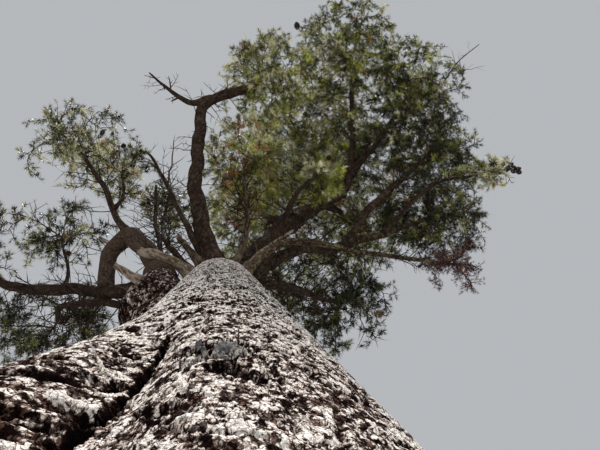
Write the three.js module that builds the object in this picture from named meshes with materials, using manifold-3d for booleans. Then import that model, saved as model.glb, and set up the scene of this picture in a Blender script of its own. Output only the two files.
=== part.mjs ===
// An old, broad-crowned pine: a stout trunk with a fused side lobe, contorted boughs that fork above a long
// bare bole, a few dead limbs and snags, and masses of needle sprays held out on twigs.
// Millimetres, +Z up, the origin at the centre of the trunk's flat foot at ground level.
import * as THREE from "three";
import { mergeVertices } from "three/addons/utils/BufferGeometryUtils.js";
import Module from "manifold-3d";

const wasm = await Module();
wasm.setup();

// Driving dimensions of the trunk
const TRUNK = {
  height: 7900,
  domeFrom: 7150, // where the top starts to round off below the fork
  domeEnd: 0.5, // share of the radius that is left at the top
  footRadius: 655,
  taper: 0.0435, // radius lost for each millimetre of height
  flare: 205, // extra radius of the root flare at the ground
  flareHeight: 420,
  ribs: 5, // root buttresses round the foot
  ribDepth: 0.1,
  ribHeight: 650,
  lean: [70, 60], // how far the axis drifts in x and y by the top
  sides: 24,
  rings: 17,
  crowding: 0.16, // how much closer the rings stand at the foot than at the top
};
// The side lobe that runs up the trunk and leaves it as a second stem, and the hollow between the two.
// Headings, turns and spreads are in degrees.
const LOBE = {
  depth: 265,
  heading: 210,
  turn: -25,
  turnFrom: 1500,
  spread: 40,
  fadeFrom: 1800,
  fadeTo: 4500,
};
const HOLLOW = { depth: 85, heading: 251, spread: 11, fadeFrom: 2300, fadeTo: 3600 };

// Bark that touches: the clear gap between a limb and what carries it, and how far a root is sunk
const CLEARANCE = 0.3;
const SLIVER = 0.1; // edges shorter than this that the cuts leave are taken out
const SUNK_SHARE = 0.985;
const COLLAR = { swell: 0.35, share: 0.07 }; // the swelling where a bough leaves its parent
const LIMB_POINTS = 24; // stretches of a limb between the points that foliage is kept clear of
const ENTRY_SHARE = 0.72; // a bough ends this far out from its mass's centre, as a share of the radius

// Living boughs. from and at: the parent, and the height up the trunk or the share along a bough.
// via: the points the bough bends through. radii: at its root and its tip. A bough with a mass ends where
// it enters that mass, and one without ends at its tip.
const BOUGHS = [
  {
    name: "leader", from: "trunk", at: 7350, radii: [125, 62], mass: "crown_top",
    via: [[820, -420, 9000], [1510, -780, 10600]],
  },
  {
    name: "front_bough", from: "trunk", at: 7300, radii: [100, 62], mass: "front_left",
    via: [[-220, -990, 8700], [-200, -1660, 9500], [-120, -2280, 10200]],
  },
  {
    name: "front_top_bough", from: "leader", at: 0.5, radii: [62, 36], mass: "upper_front",
    via: [[2140, -1050, 10900], [2410, -1940, 11600]],
  },
  {
    name: "front_right_bough", from: "front_top_bough", at: 0.45, radii: [58, 36], mass: "upper_right",
    via: [[2950, -2050, 11500]],
  },
  {
    name: "mid_right_bough", from: "front_top_bough", at: 0.3, radii: [52, 32], mass: "centre_right",
    via: [[2260, -1350, 11350]],
  },
  {
    name: "upright_bough", from: "trunk", at: 7100, radii: [40, 26], mass: "inner_left",
    via: [[340, -430, 7900], [400, -800, 8700]],
  },
  {
    name: "right_bough", from: "trunk", at: 7200, radii: [74, 40], mass: "right_upper",
    via: [[1010, -290, 8250], [1640, -280, 8800], [2080, -670, 9400]],
  },
  {
    name: "right_side_bough", from: "right_bough", at: 0.5, radii: [56, 34], mass: "right_lower",
    via: [[2240, -380, 9300]],
  },
  {
    name: "right_tip_bough", from: "right_side_bough", at: 0.55, radii: [36, 18], mass: "right_tip",
    via: [[3200, -1120, 9650]],
  },
  {
    name: "low_right_bough", from: "trunk", at: 6900, radii: [44, 24], mass: "right_rusty",
    via: [[790, -400, 7800], [1840, -220, 8600]],
  },
  {
    name: "back_right_bough", from: "trunk", at: 6850, radii: [60, 32], mass: "back_right",
    via: [[690, 60, 7700]],
  },
  {
    name: "middle_bough", from: "leader", at: 0.62, radii: [68, 38], mass: "middle",
    via: [[2050, -700, 10900]],
  },
  {
    name: "centre_bough", from: "leader", at: 0.3, radii: [44, 24], mass: "centre_low",
    via: [[1080, -1000, 8900]],
  },
  {
    name: "inner_bough", from: "leader", at: 0.42, radii: [78, 42], mass: "upper_middle",
    via: [[980, -560, 10600]],
  },
  {
    name: "upper_back_bough", from: "leader", at: 0.22, radii: [92, 48], mass: "upper_back",
    via: [[620, 420, 9700]],
  },
  {
    name: "back_bough", from: "trunk", at: 7050, radii: [120, 55], mass: "back",
    via: [[160, 900, 8100], [320, 1500, 8900]],
  },
  {
    name: "back_left_bough", from: "trunk", at: 6500, radii: [112, 52], mass: "back_left",
    via: [[-420, 760, 7500], [-760, 1250, 8200]],
  },
  {
    name: "left_stem", from: "trunk", at: 3900, radii: [232, 125],
    via: [[-300, -60, 4900], [-430, -90, 6100]], tip: [-520, -60, 7300],
  },
  {
    name: "left_bough", from: "left_stem", at: 0.93, radii: [78, 42], mass: "far_left",
    via: [[-1020, 100, 7620], [-1400, 130, 8050], [-1900, 160, 8350], [-2400, 140, 8600]],
  },
  {
    name: "swan_bough", from: "left_stem", at: 1, radii: [108, 86],
    via: [[-620, -200, 7650], [-790, -370, 7980], [-1000, -450, 8190], [-1150, -270, 8160]],
    tip: [-1150, 95, 7840],
  },
  {
    name: "left_upright_bough", from: "swan_bough", at: 0.56, radii: [40, 24], mass: "left_top",
    via: [[-1110, -640, 8400], [-1330, -1010, 8850]],
  },
  {
    name: "left_mid_bough", from: "left_upright_bough", at: 0.3, radii: [24, 16], mass: "left_mid",
    via: [[-1100, -920, 8820]],
  },
  {
    name: "left_low_bough", from: "left_stem", at: 0.88, radii: [46, 24], mass: "left_low",
    via: [[-900, 175, 7390], [-1200, 215, 7700], [-1640, 300, 8030]],
  },
  {
    name: "left_inner_bough", from: "left_bough", at: 0.52, radii: [26, 16], mass: "left_inner",
    via: [[-1720, -40, 8640]],
  },
  {
    name: "thin_bough", from: "trunk", at: 7000, radii: [36, 20], mass: "inner_thin",
    via: [[-440, -330, 7700], [-600, -520, 8500]],
  },
];

// Dead limbs, snags and broken stubs: bare, with short spurs left of their side twigs
const DEAD_LIMBS = [
  {
    name: "dead_front_limb", from: "front_bough", at: 0.84, radii: [52, 9], spurs: 4,
    via: [[-340, -2320, 10330], [-610, -2480, 10500]], tip: [-990, -2830, 10820],
  },
  {
    name: "dead_left_limb", from: "trunk", at: 7200, radii: [44, 15], spurs: 3,
    via: [[-400, -720, 8500], [-700, -1230, 9300], [-920, -1520, 9800]], tip: [-1090, -1560, 9940],
  },
  {
    name: "dead_upright_limb", from: "left_stem", at: 0.86, radii: [34, 16], spurs: 2,
    via: [[-560, -330, 7700], [-690, -640, 8500]], tip: [-740, -1050, 9150],
  },
  {
    name: "dead_right_twig", from: "front_right_bough", at: 0.8, radii: [22, 6], spurs: 3,
    via: [[3900, -2700, 11750], [4500, -3450, 12050]], tip: [5060, -3900, 12300],
  },
  {
    name: "bright_spur", from: "trunk", at: 7000, radii: [30, 12], spurs: 2,
    via: [[420, -280, 7450], [700, -430, 7800]], tip: [900, -520, 8050],
  },
  {
    name: "stub_upper", from: "trunk", at: 7150, radii: [62, 40], spurs: 0,
    via: [[-430, -260, 7330]], tip: [-740, -340, 7480],
  },
  {
    name: "stub_lower", from: "left_stem", at: 0.88, radii: [46, 28], spurs: 0,
    via: [[-760, -130, 7060]], tip: [-950, -230, 7190],
  },
  {
    name: "stub_swan", from: "swan_bough", at: 0.68, radii: [34, 16], spurs: 0,
    via: [[-1190, -370, 8330]], tip: [-1320, -430, 8430],
  },
  {
    name: "stub_front", from: "trunk", at: 7200, radii: [48, 30], spurs: 0,
    via: [[-240, -330, 7500]], tip: [-370, -460, 7780],
  },
];

// Masses of needle sprays: the centre and radii of the space that each keeps to, and how full it is
const MASSES = {
  crown_top: { centre: [1980, -1950, 13900], radii: [1350, 1350, 1250], fullness: 1 },
  front_left: { centre: [890, -2860, 11200], radii: [900, 850, 780], fullness: 1 },
  upper_front: { centre: [2590, -3560, 12550], radii: [1200, 1220, 900], fullness: 1 },
  upper_right: { centre: [3600, -2900, 12000], radii: [1050, 1050, 880], fullness: 1 },
  inner_left: { centre: [430, -1290, 9950], radii: [760, 860, 720], fullness: 1 },
  right_upper: { centre: [3600, -1700, 10900], radii: [950, 850, 750], fullness: 1 },
  right_lower: { centre: [3300, -620, 10050], radii: [1000, 800, 680], fullness: 1 },
  right_tip: { centre: [4230, -1330, 10000], radii: [640, 330, 340], fullness: 1 },
  right_rusty: { centre: [3430, 40, 9350], radii: [600, 440, 360], fullness: 0.8 },
  back_right: { centre: [1640, 520, 9150], radii: [880, 800, 560], fullness: 1 },
  centre_right: { centre: [2880, -1970, 12060], radii: [880, 850, 700], fullness: 1 },
  middle: { centre: [2320, -520, 11550], radii: [1150, 1080, 880], fullness: 1 },
  centre_low: { centre: [1430, -1210, 9350], radii: [560, 460, 430], fullness: 1 },
  upper_middle: { centre: [880, -600, 12500], radii: [1050, 1050, 900], fullness: 1 },
  upper_back: { centre: [590, 900, 11800], radii: [1150, 1100, 900], fullness: 1 },
  back: { centre: [450, 2300, 10000], radii: [1250, 1150, 900], fullness: 1 },
  back_left: { centre: [-1200, 2000, 9400], radii: [1200, 1100, 800], fullness: 1 },
  far_left: { centre: [-3200, -300, 9300], radii: [850, 620, 520], fullness: 1 },
  left_top: { centre: [-1870, -1600, 9900], radii: [840, 640, 620], fullness: 1 },
  left_mid: { centre: [-1180, -1230, 9350], radii: [540, 540, 460], fullness: 1 },
  left_low: { centre: [-1950, 720, 8900], radii: [1000, 640, 520], fullness: 1 },
  left_inner: { centre: [-1950, -430, 9200], radii: [800, 560, 450], fullness: 0.9 },
  inner_thin: { centre: [-640, -830, 9650], radii: [480, 460, 480], fullness: 0.8 },
};

// How a mass grows: one stem, twigs to points spread evenly round its space, and a spray of needles on each
const GROWTH = {
  fewestTwigs: 5,
  twigsPerSquare: 1.45, // for each square metre of the three middle sections
  stemBeyond: 0.3, // how far the stem runs on past the centre, as a share of the way to it
  twigFrom: 0.2, // the share along the stem where twigs start
  twigTo: 0.95,
  shellShare: 0.99, // how far out the spray tips reach
  innerEvery: 3, // each third twig is a short one that fills the inside
  innerShare: 0.5,
  leastOut: 0.2, // no twig ends nearer to the centre than this
  stemBend: 0.45, // how far a stem keeps its bough's heading, as a share of the way to the centre
  twigBend: 0.3, // how far a twig keeps its stem's heading
  stemStart: 0.96, // radius of a stem's root, as a share of its bough's tip
  stemTaper: 0.6,
  twigRadii: [11, 8],
  shortest: 0.4, // a twig shorter than this share of its spray's reach is left out
  margin: 0.03, // kept clear between two masses, as a share of their radii
  limbMargin: 40,
};
// A spray stands for tufts of needles: a slim three-sided core with needles standing out of it, leaning
// forward. Its reach is given for a mass one metre in radius, and goes with the root of the radius.
// The other numbers are shares of the reach, but for the lean and the crowding.
const SPRAY = {
  reach: 600,
  most: 1.3, // the reach is at most this share of its mass's smallest radius
  core: 0.24, // radius of the core
  length: 0.5, // length of the core
  lean: 0.9, // how far the front needles lean forward
  least: 0.8, // length of the shortest needle
  spread: 0.3, // how much longer the longest is
  share: 0.7, // room kept between a twig's end and the edge of the space
  crowding: 0.45, // a needle's tip keeps this share of its length clear of the other sprays
};
const SHORTER = [1, 0.8, 0.6]; // the lengths that a needle is tried at before it is left out
const TESTED = [0.4, 0.6, 0.8, 1]; // the places on a twig that have to be clear

const GOLDEN_ANGLE = Math.PI * (3 - Math.sqrt(5));
const GOLDEN_SHARE = (Math.sqrt(5) - 1) / 2;
const UP = new THREE.Vector3(0, 0, 1);
const SIDEWAYS = new THREE.Vector3(1, 0, 0);
const NEARLY_UPRIGHT = 0.9;
const vector = (point) => new THREE.Vector3(...point);

// The same run of numbers in [0, 1) for the same seed
function seeded(seed) {
  let state = seed;
  return () => {
    state = (state * 16807) % 2147483647;
    return state / 2147483647;
  };
}

function smooth(value, from, to) {
  const share = THREE.MathUtils.clamp((value - from) / (to - from), 0, 1);
  return share * share * (3 - 2 * share);
}

// How far an angle lies from a heading, both turned into -180 to 180 degrees
function degreesFrom(angle, heading) {
  const turn = THREE.MathUtils.radToDeg(angle) - heading;
  return ((((turn + 180) % 360) + 360) % 360) - 180;
}

function trunkAxis(height) {
  const share = height / TRUNK.height;
  return new THREE.Vector3(TRUNK.lean[0] * share * share, TRUNK.lean[1] * share * share, height);
}

function trunkRadius(angle, height) {
  const flare = TRUNK.flare * Math.exp(-height / TRUNK.flareHeight);
  const bole = TRUNK.footRadius - TRUNK.taper * height + flare;
  const ribs = TRUNK.ribDepth * Math.exp(-height / TRUNK.ribHeight) * Math.cos(TRUNK.ribs * angle);
  const lobeHeading = LOBE.heading + LOBE.turn * smooth(height, LOBE.turnFrom, LOBE.fadeTo);
  const fromLobe = degreesFrom(angle, lobeHeading) / LOBE.spread;
  const fromHollow = degreesFrom(angle, HOLLOW.heading) / HOLLOW.spread;
  const lobe = LOBE.depth * Math.exp(-fromLobe * fromLobe);
  const hollow = HOLLOW.depth * Math.exp(-fromHollow * fromHollow);
  const lobeShare = 1 - smooth(height, LOBE.fadeFrom, LOBE.fadeTo);
  const hollowShare = 1 - smooth(height, HOLLOW.fadeFrom, HOLLOW.fadeTo);
  const dome = Math.max(0, (height - TRUNK.domeFrom) / (TRUNK.height - TRUNK.domeFrom));
  const radius = bole * (1 + ribs) + lobe * lobeShare - hollow * hollowShare;
  return radius * (1 - (1 - TRUNK.domeEnd) * dome * dome);
}

// A closed cylinder whose points are placed by where(share along it, angle round it, share of the radius)
function bentCylinder(sides, steps, where) {
  const geometry = new THREE.CylinderGeometry(1, 1, 1, sides, steps);
  const position = geometry.attributes.position;
  for (let i = 0; i < position.count; i++) {
    const x = position.getX(i);
    const y = position.getY(i);
    const z = position.getZ(i);
    const point = where(y + 0.5, Math.atan2(-z, x), Math.hypot(x, z));
    position.setXYZ(i, point.x, point.y, point.z);
  }
  return geometry;
}

function solidOf(geometry) {
  geometry.deleteAttribute("normal");
  geometry.deleteAttribute("uv");
  const merged = mergeVertices(geometry, 0.001);
  const vertProperties = merged.attributes.position.array;
  const triVerts = new Uint32Array(merged.index.array);
  return new wasm.Manifold(new wasm.Mesh({ numProp: 3, vertProperties, triVerts }));
}

function trunkSolid(grown) {
  const ringShare = (share) => share + TRUNK.crowding * share * (share - 1);
  return solidOf(
    bentCylinder(TRUNK.sides, TRUNK.rings, (share, angle, radial) => {
      const height = TRUNK.height * ringShare(share);
      const radius = radial * (trunkRadius(angle, height) + grown);
      const end = share === 1 ? grown : share === 0 ? -grown : 0;
      const outward = new THREE.Vector3(radius * Math.cos(angle), radius * Math.sin(angle), end);
      return trunkAxis(height).add(outward);
    }),
  );
}

// A tapering limb along a curve: round, with a collar at its root when collar is above 0
function limbSolid(curve, radii, sides, steps, collar, grown) {
  const frames = curve.computeFrenetFrames(steps);
  return solidOf(
    bentCylinder(sides, steps, (share, angle, radial) => {
      const step = Math.round(share * steps);
      const along = step / steps;
      const swell = 1 + collar * Math.exp(-along / COLLAR.share);
      const radius = radial * (THREE.MathUtils.lerp(radii[0], radii[1], along) * swell + grown);
      const end = step === steps ? grown : step === 0 ? -grown : 0;
      return curve
        .getPointAt(along)
        .addScaledVector(frames.normals[step], radius * Math.cos(angle))
        .addScaledVector(frames.binormals[step], radius * Math.sin(angle))
        .addScaledVector(frames.tangents[step], end);
    }),
  );
}

function largestBody(solid) {
  const bodies = solid.decompose();
  return bodies.reduce((best, body) => (body.volume() > best.volume() ? body : best));
}

// Every limb made so far: its curve, radii and the swollen solid that its neighbours are cut by
const limbs = new Map();

function pointOn(parent, at) {
  return parent === "trunk" ? trunkAxis(at) : limbs.get(parent).curve.getPointAt(Math.min(at, SUNK_SHARE));
}

// Where a bough that comes from a point enters the space of a mass
function entryPoint(mass, from) {
  const centre = vector(mass.centre);
  const radii = vector(mass.radii);
  const outward = from.clone().sub(centre).divide(radii).normalize();
  return centre.add(outward.multiply(radii).multiplyScalar(ENTRY_SHARE));
}

function limbCurve(spec) {
  const via = spec.via.map(vector);
  const tip = spec.mass ? entryPoint(MASSES[spec.mass], via[via.length - 1]) : vector(spec.tip);
  return new THREE.CatmullRomCurve3([pointOn(spec.from, spec.at), ...via, tip]);
}

function limbSides(spec) {
  return spec.radii[0] > 100 ? 8 : spec.radii[0] > 50 ? 6 : 5;
}

// Side twigs of a dead limb
const SPUR = {
  from: 0.35, // the shares of the limb that they stand between
  to: 0.95,
  least: 0.1, // length of the shortest, as a share of the limb's
  spread: 0.12, // how much longer the longest is
  lean: 0.6, // how far they lean forward
  radius: 0.6, // as a share of the limb's where they leave it
  taper: 0.4,
  sides: 3,
};

// The side twigs of a dead limb, as solids that are grown by a little more than their bark
function spurSolids(spec, curve, grown, random) {
  return Array.from({ length: spec.spurs ?? 0 }, (_, i) => {
    const share = SPUR.from + ((SPUR.to - SPUR.from) * (i + 0.5)) / spec.spurs;
    const root = curve.getPointAt(share);
    const ahead = curve.getTangentAt(share);
    const side = ahead.clone().cross(UP).applyAxisAngle(ahead, i * GOLDEN_ANGLE).normalize();
    const reach = curve.getLength() * (SPUR.least + SPUR.spread * random());
    const tip = root.clone().addScaledVector(side, reach).addScaledVector(ahead, SPUR.lean * reach);
    const radius = THREE.MathUtils.lerp(spec.radii[0], spec.radii[1], share) * SPUR.radius;
    const radii = [radius, radius * SPUR.taper];
    return limbSolid(new THREE.LineCurve3(root, tip), radii, SPUR.sides, 1, 0, grown);
  });
}

function makeLimb(spec, seed) {
  const curve = limbCurve(spec);
  const sides = limbSides(spec);
  const steps = 2 + 2 * spec.via.length;
  const grownBy = (grown) => {
    const spurs = spurSolids(spec, curve, grown, seeded(seed));
    return wasm.Manifold.union([limbSolid(curve, spec.radii, sides, steps, COLLAR.swell, grown), ...spurs]);
  };
  let solid = grownBy(0);
  for (const limb of limbs.values()) solid = solid.subtract(limb.cutter);
  const cutter = grownBy(CLEARANCE / Math.cos(Math.PI / SPUR.sides));
  limbs.set(spec.name, { curve, radii: spec.radii, cutter, points: curve.getSpacedPoints(LIMB_POINTS) });
  return solid;
}

// How far out a point lies in a mass's space: 0 at the centre and 1 at its outer edge
function depthIn(mass, point) {
  return point.clone().sub(vector(mass.centre)).divide(vector(mass.radii)).length();
}

function isOwn(name, point) {
  const own = depthIn(MASSES[name], point);
  const others = Object.keys(MASSES).filter((other) => other !== name);
  return own < 1 && others.every((other) => own + GROWTH.margin < depthIn(MASSES[other], point));
}

// True if a point stands clear of every limb by its own radius and a margin
function clearOfLimbs(point, radius) {
  for (const limb of limbs.values()) {
    const last = limb.points.length - 1;
    for (let i = 0; i <= last; i++) {
      const here = limb.points[i];
      const next = limb.points[Math.min(i + 1, last)];
      const thick = THREE.MathUtils.lerp(limb.radii[0], limb.radii[1], i / last);
      const reach = thick + radius + GROWTH.limbMargin;
      if (here.distanceTo(point) < reach) return false;
      if (here.clone().lerp(next, 0.5).distanceTo(point) < reach) return false;
    }
  }
  return true;
}

// The masses made so far
const crowns = [];

// True if a solid runs into an earlier mass, or into the swollen solid of any limb but its carrier
function runsInto(solid, carrier) {
  const meets = (other) => !solid.intersect(other).isEmpty();
  return crowns.some(meets) || [...limbs].some(([name, limb]) => name !== carrier && meets(limb.cutter));
}

// The three corners of a section of a shoot, square to its heading. side is a direction well off the
// shoot's heading that all its sections take their turn from, so that they don't twist against each other.
function section(centre, heading, radius, side, roll) {
  const across = side.clone().projectOnPlane(heading).setLength(radius);
  const third = (2 * Math.PI) / 3;
  return [0, 1, 2].map((k) => across.clone().applyAxisAngle(heading, roll + k * third).add(centre));
}

// A twig with its spray: three-sided, swelling into a slim core near its end. Each of the core's six broad
// sides carries a needle where hasRoom(tip, halfway) finds room for one. The back three stand square to the
// heading and the front three lean forward, so no needle runs into another.
function shootSolid(curve, reach, hasRoom, random) {
  const heading = curve.getTangent(1);
  const side = heading.clone().cross(Math.abs(heading.z) > NEARLY_UPRIGHT ? SIDEWAYS : UP);
  const root = curve.getPoint(0);
  const end = curve.getPoint(1);
  const roll = random() * Math.PI;
  const bulge = end.clone().addScaledVector(heading, reach * SPRAY.length * 0.5);
  const points = [
    ...section(root, end.clone().sub(root).normalize(), GROWTH.twigRadii[0], side, roll),
    ...section(end, heading, GROWTH.twigRadii[1], side, roll),
    ...section(bulge, heading, reach * SPRAY.core, side, roll + Math.PI / 3),
    end.clone().addScaledVector(heading, reach * SPRAY.length),
  ];
  const faces = [[0, 2, 1]];
  const growNeedle = (a, b, c, lean) => {
    const middle = points[a].clone().add(points[b]).add(points[c]).divideScalar(3);
    const away = middle.clone().sub(end).projectOnPlane(heading).normalize();
    away.addScaledVector(heading, lean).normalize();
    const full = reach * (SPRAY.least + SPRAY.spread * random());
    const tips = SHORTER.map((share) => bulge.clone().addScaledVector(away, full * share));
    const tip = tips.find((place) => hasRoom(place, middle.clone().lerp(place, 0.5)));
    if (tip) {
      const last = points.push(tip) - 1;
      faces.push([a, b, last], [b, c, last], [c, a, last]);
    } else {
      faces.push([a, b, c]);
    }
  };
  for (let k = 0; k < 3; k++) {
    const next = (k + 1) % 3;
    faces.push([k, next, 3 + k], [next, 3 + next, 3 + k], [3 + k, 3 + next, 6 + k]);
    growNeedle(3 + next, 6 + next, 6 + k, 0);
    growNeedle(6 + k, 6 + next, 9, SPRAY.lean);
  }
  return solidOf(new THREE.BufferGeometry().setFromPoints(points).setIndex(faces.flat()));
}

// True if a twig is long enough for its spray and stays in its mass's space, clear of every limb
function twigIsClear(name, curve, reach) {
  if (curve.getPoint(0).distanceTo(curve.getPoint(1)) < reach * GROWTH.shortest) return false;
  return TESTED.every((share) => {
    const point = curve.getPoint(share);
    return isOwn(name, point) && clearOfLimbs(point, GROWTH.twigRadii[0]);
  });
}

// The stem of a mass: it starts in the end of its bough and runs on a little past the centre
function stemCurve(bough, mass) {
  const start = bough.curve.getPointAt(SUNK_SHARE);
  const heading = bough.curve.getTangentAt(1);
  const way = vector(mass.centre).sub(start);
  const control = start.clone().addScaledVector(heading, way.length() * GROWTH.stemBend);
  const end = vector(mass.centre).addScaledVector(way, GROWTH.stemBeyond);
  return new THREE.QuadraticBezierCurve3(start, control, end);
}

// A twig leaves the stem, follows it a little and bends out to its own point near the edge of the space
function twigCurve(stem, mass, reach, i, count, random) {
  const height = 1 - (2 * (i + 0.5)) / count;
  const turn = i * GOLDEN_ANGLE + random();
  const level = Math.sqrt(1 - height * height);
  const outward = new THREE.Vector3(level * Math.cos(turn), level * Math.sin(turn), height);
  outward.multiply(vector(mass.radii));
  const shell = GROWTH.shellShare - (reach * SPRAY.share) / outward.length();
  const out = i % GROWTH.innerEvery === GROWTH.innerEvery - 1 ? shell * GROWTH.innerShare : shell;
  const end = vector(mass.centre).addScaledVector(outward, Math.max(out, GROWTH.leastOut));
  const share = THREE.MathUtils.lerp(GROWTH.twigFrom, GROWTH.twigTo, (i * GOLDEN_SHARE) % 1);
  const root = stem.getPoint(share);
  const follow = root.distanceTo(end) * GROWTH.twigBend;
  const control = root.clone().addScaledVector(stem.getTangent(share), follow);
  return new THREE.QuadraticBezierCurve3(root, control, end);
}

function makeMass(name, boughName, seed) {
  const mass = MASSES[name];
  const bough = limbs.get(boughName);
  const random = seeded(seed);
  const stem = stemCurve(bough, mass);
  const [x, y, z] = mass.radii.map((radius) => radius / 1000);
  const reach = SPRAY.reach * Math.min(Math.cbrt(x * y * z) ** 0.5, SPRAY.most * Math.min(x, y, z));
  const full = GROWTH.fewestTwigs + GROWTH.twigsPerSquare * (x * y + y * z + z * x);
  const count = Math.round(full * mass.fullness);
  const twigs = Array.from({ length: count }, (_, i) => twigCurve(stem, mass, reach, i, count, random));
  const clear = twigs.filter((twig) => twigIsClear(name, twig, reach));
  const ends = clear.map((twig) => twig.getPoint(1));
  const stemRadius = bough.radii[1] * GROWTH.stemStart;
  const parts = [limbSolid(stem, [stemRadius, stemRadius * GROWTH.stemTaper], 4, 3, 0, 0)];
  clear.forEach((twig, i) => {
    const hasRoom = (tip, halfway) =>
      isOwn(name, tip) &&
      clearOfLimbs(tip, 0) &&
      clearOfLimbs(halfway, 0) &&
      ends.every((end, k) => k === i || tip.distanceTo(end) > tip.distanceTo(ends[i]) * SPRAY.crowding);
    const shoot = shootSolid(twig, reach, hasRoom, random);
    if (!runsInto(shoot, boughName)) parts.push(shoot);
  });
  const crown = wasm.Manifold.union(parts).subtract(bough.cutter);
  crowns.push(crown);
  return crown;
}

function material(colour, roughness) {
  return new THREE.MeshStandardMaterial({ color: colour, roughness, metalness: 0 });
}
const BARK = material(0x7d7068, 0.95);
const LIMB_BARK = material(0x54463d, 0.92);
const DEAD_WOOD = material(0x4a403a, 0.9);
const NEEDLES = material(0x6d7433, 0.75);

function meshOf(name, solid, look) {
  const { vertProperties, triVerts } = largestBody(solid.simplify(SLIVER)).getMesh();
  const geometry = new THREE.BufferGeometry();
  geometry.setAttribute("position", new THREE.BufferAttribute(vertProperties, 3));
  geometry.setIndex(new THREE.BufferAttribute(triVerts, 1));
  geometry.computeVertexNormals();
  const mesh = new THREE.Mesh(geometry, look);
  mesh.name = name;
  return mesh;
}

const tree = new THREE.Group();
tree.name = "pine_tree";
tree.add(meshOf("trunk", trunkSolid(0), BARK));
limbs.set("trunk", {
  curve: new THREE.LineCurve3(trunkAxis(0), trunkAxis(TRUNK.height)),
  radii: [TRUNK.footRadius, TRUNK.footRadius - TRUNK.taper * TRUNK.height],
  cutter: trunkSolid(CLEARANCE / Math.cos(Math.PI / TRUNK.sides)),
  points: Array.from({ length: LIMB_POINTS + 1 }, (_, i) => trunkAxis((TRUNK.height * i) / LIMB_POINTS)),
});
BOUGHS.forEach((spec, i) => tree.add(meshOf(spec.name, makeLimb(spec, 101 + i), LIMB_BARK)));
DEAD_LIMBS.forEach((spec, i) => tree.add(meshOf(spec.name, makeLimb(spec, 201 + i), DEAD_WOOD)));
BOUGHS.filter((spec) => spec.mass).forEach((spec, i) => {
  tree.add(meshOf(`foliage_${spec.mass}`, makeMass(spec.mass, spec.name, 301 + i), NEEDLES));
});

export default tree;
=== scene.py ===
import math

import bpy
import numpy as np
from mathutils import Matrix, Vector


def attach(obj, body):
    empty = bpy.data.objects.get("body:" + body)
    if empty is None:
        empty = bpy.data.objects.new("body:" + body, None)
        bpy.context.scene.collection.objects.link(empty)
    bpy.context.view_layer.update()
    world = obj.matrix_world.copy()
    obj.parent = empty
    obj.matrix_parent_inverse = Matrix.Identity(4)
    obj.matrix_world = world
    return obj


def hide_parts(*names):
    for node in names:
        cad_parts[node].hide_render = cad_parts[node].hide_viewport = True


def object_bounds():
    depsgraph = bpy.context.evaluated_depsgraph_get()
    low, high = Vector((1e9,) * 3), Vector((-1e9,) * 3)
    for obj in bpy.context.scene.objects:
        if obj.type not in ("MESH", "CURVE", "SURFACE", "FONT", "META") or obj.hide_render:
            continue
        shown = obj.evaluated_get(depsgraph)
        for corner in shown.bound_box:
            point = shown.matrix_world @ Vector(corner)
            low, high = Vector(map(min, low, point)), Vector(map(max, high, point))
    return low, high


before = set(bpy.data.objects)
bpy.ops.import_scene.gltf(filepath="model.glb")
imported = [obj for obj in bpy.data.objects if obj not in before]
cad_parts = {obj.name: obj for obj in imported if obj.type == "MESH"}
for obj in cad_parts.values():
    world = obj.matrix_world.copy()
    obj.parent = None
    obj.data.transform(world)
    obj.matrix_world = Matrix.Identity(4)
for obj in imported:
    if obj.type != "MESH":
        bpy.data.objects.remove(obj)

cad_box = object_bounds()

# The tree's own numbers, as the solids have them, in metres and degrees
TRUNK = {
    "height": 7.9,
    "dome_from": 7.15,
    "dome_end": 0.5,
    "foot_radius": 0.655,
    "taper": 0.0435,
    "flare": 0.205,
    "flare_height": 0.42,
    "ribs": 5,
    "rib_depth": 0.1,
    "rib_height": 0.65,
    "lean": (0.07, 0.06),
}
LOBE = {"depth": 0.265, "heading": 210, "turn": -25, "turn_from": 1.5, "spread": 40, "fade": (1.8, 4.5)}
HOLLOW = {"depth": 0.085, "heading": 251, "spread": 11, "fade": (2.3, 3.6)}
# A bough leaves its parent, and a stem its bough, no farther along than this share
SUNK_SHARE = 0.985
# A bough ends this share of the way from the middle of its mass to the edge
ENTRY_SHARE = 0.72

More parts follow.
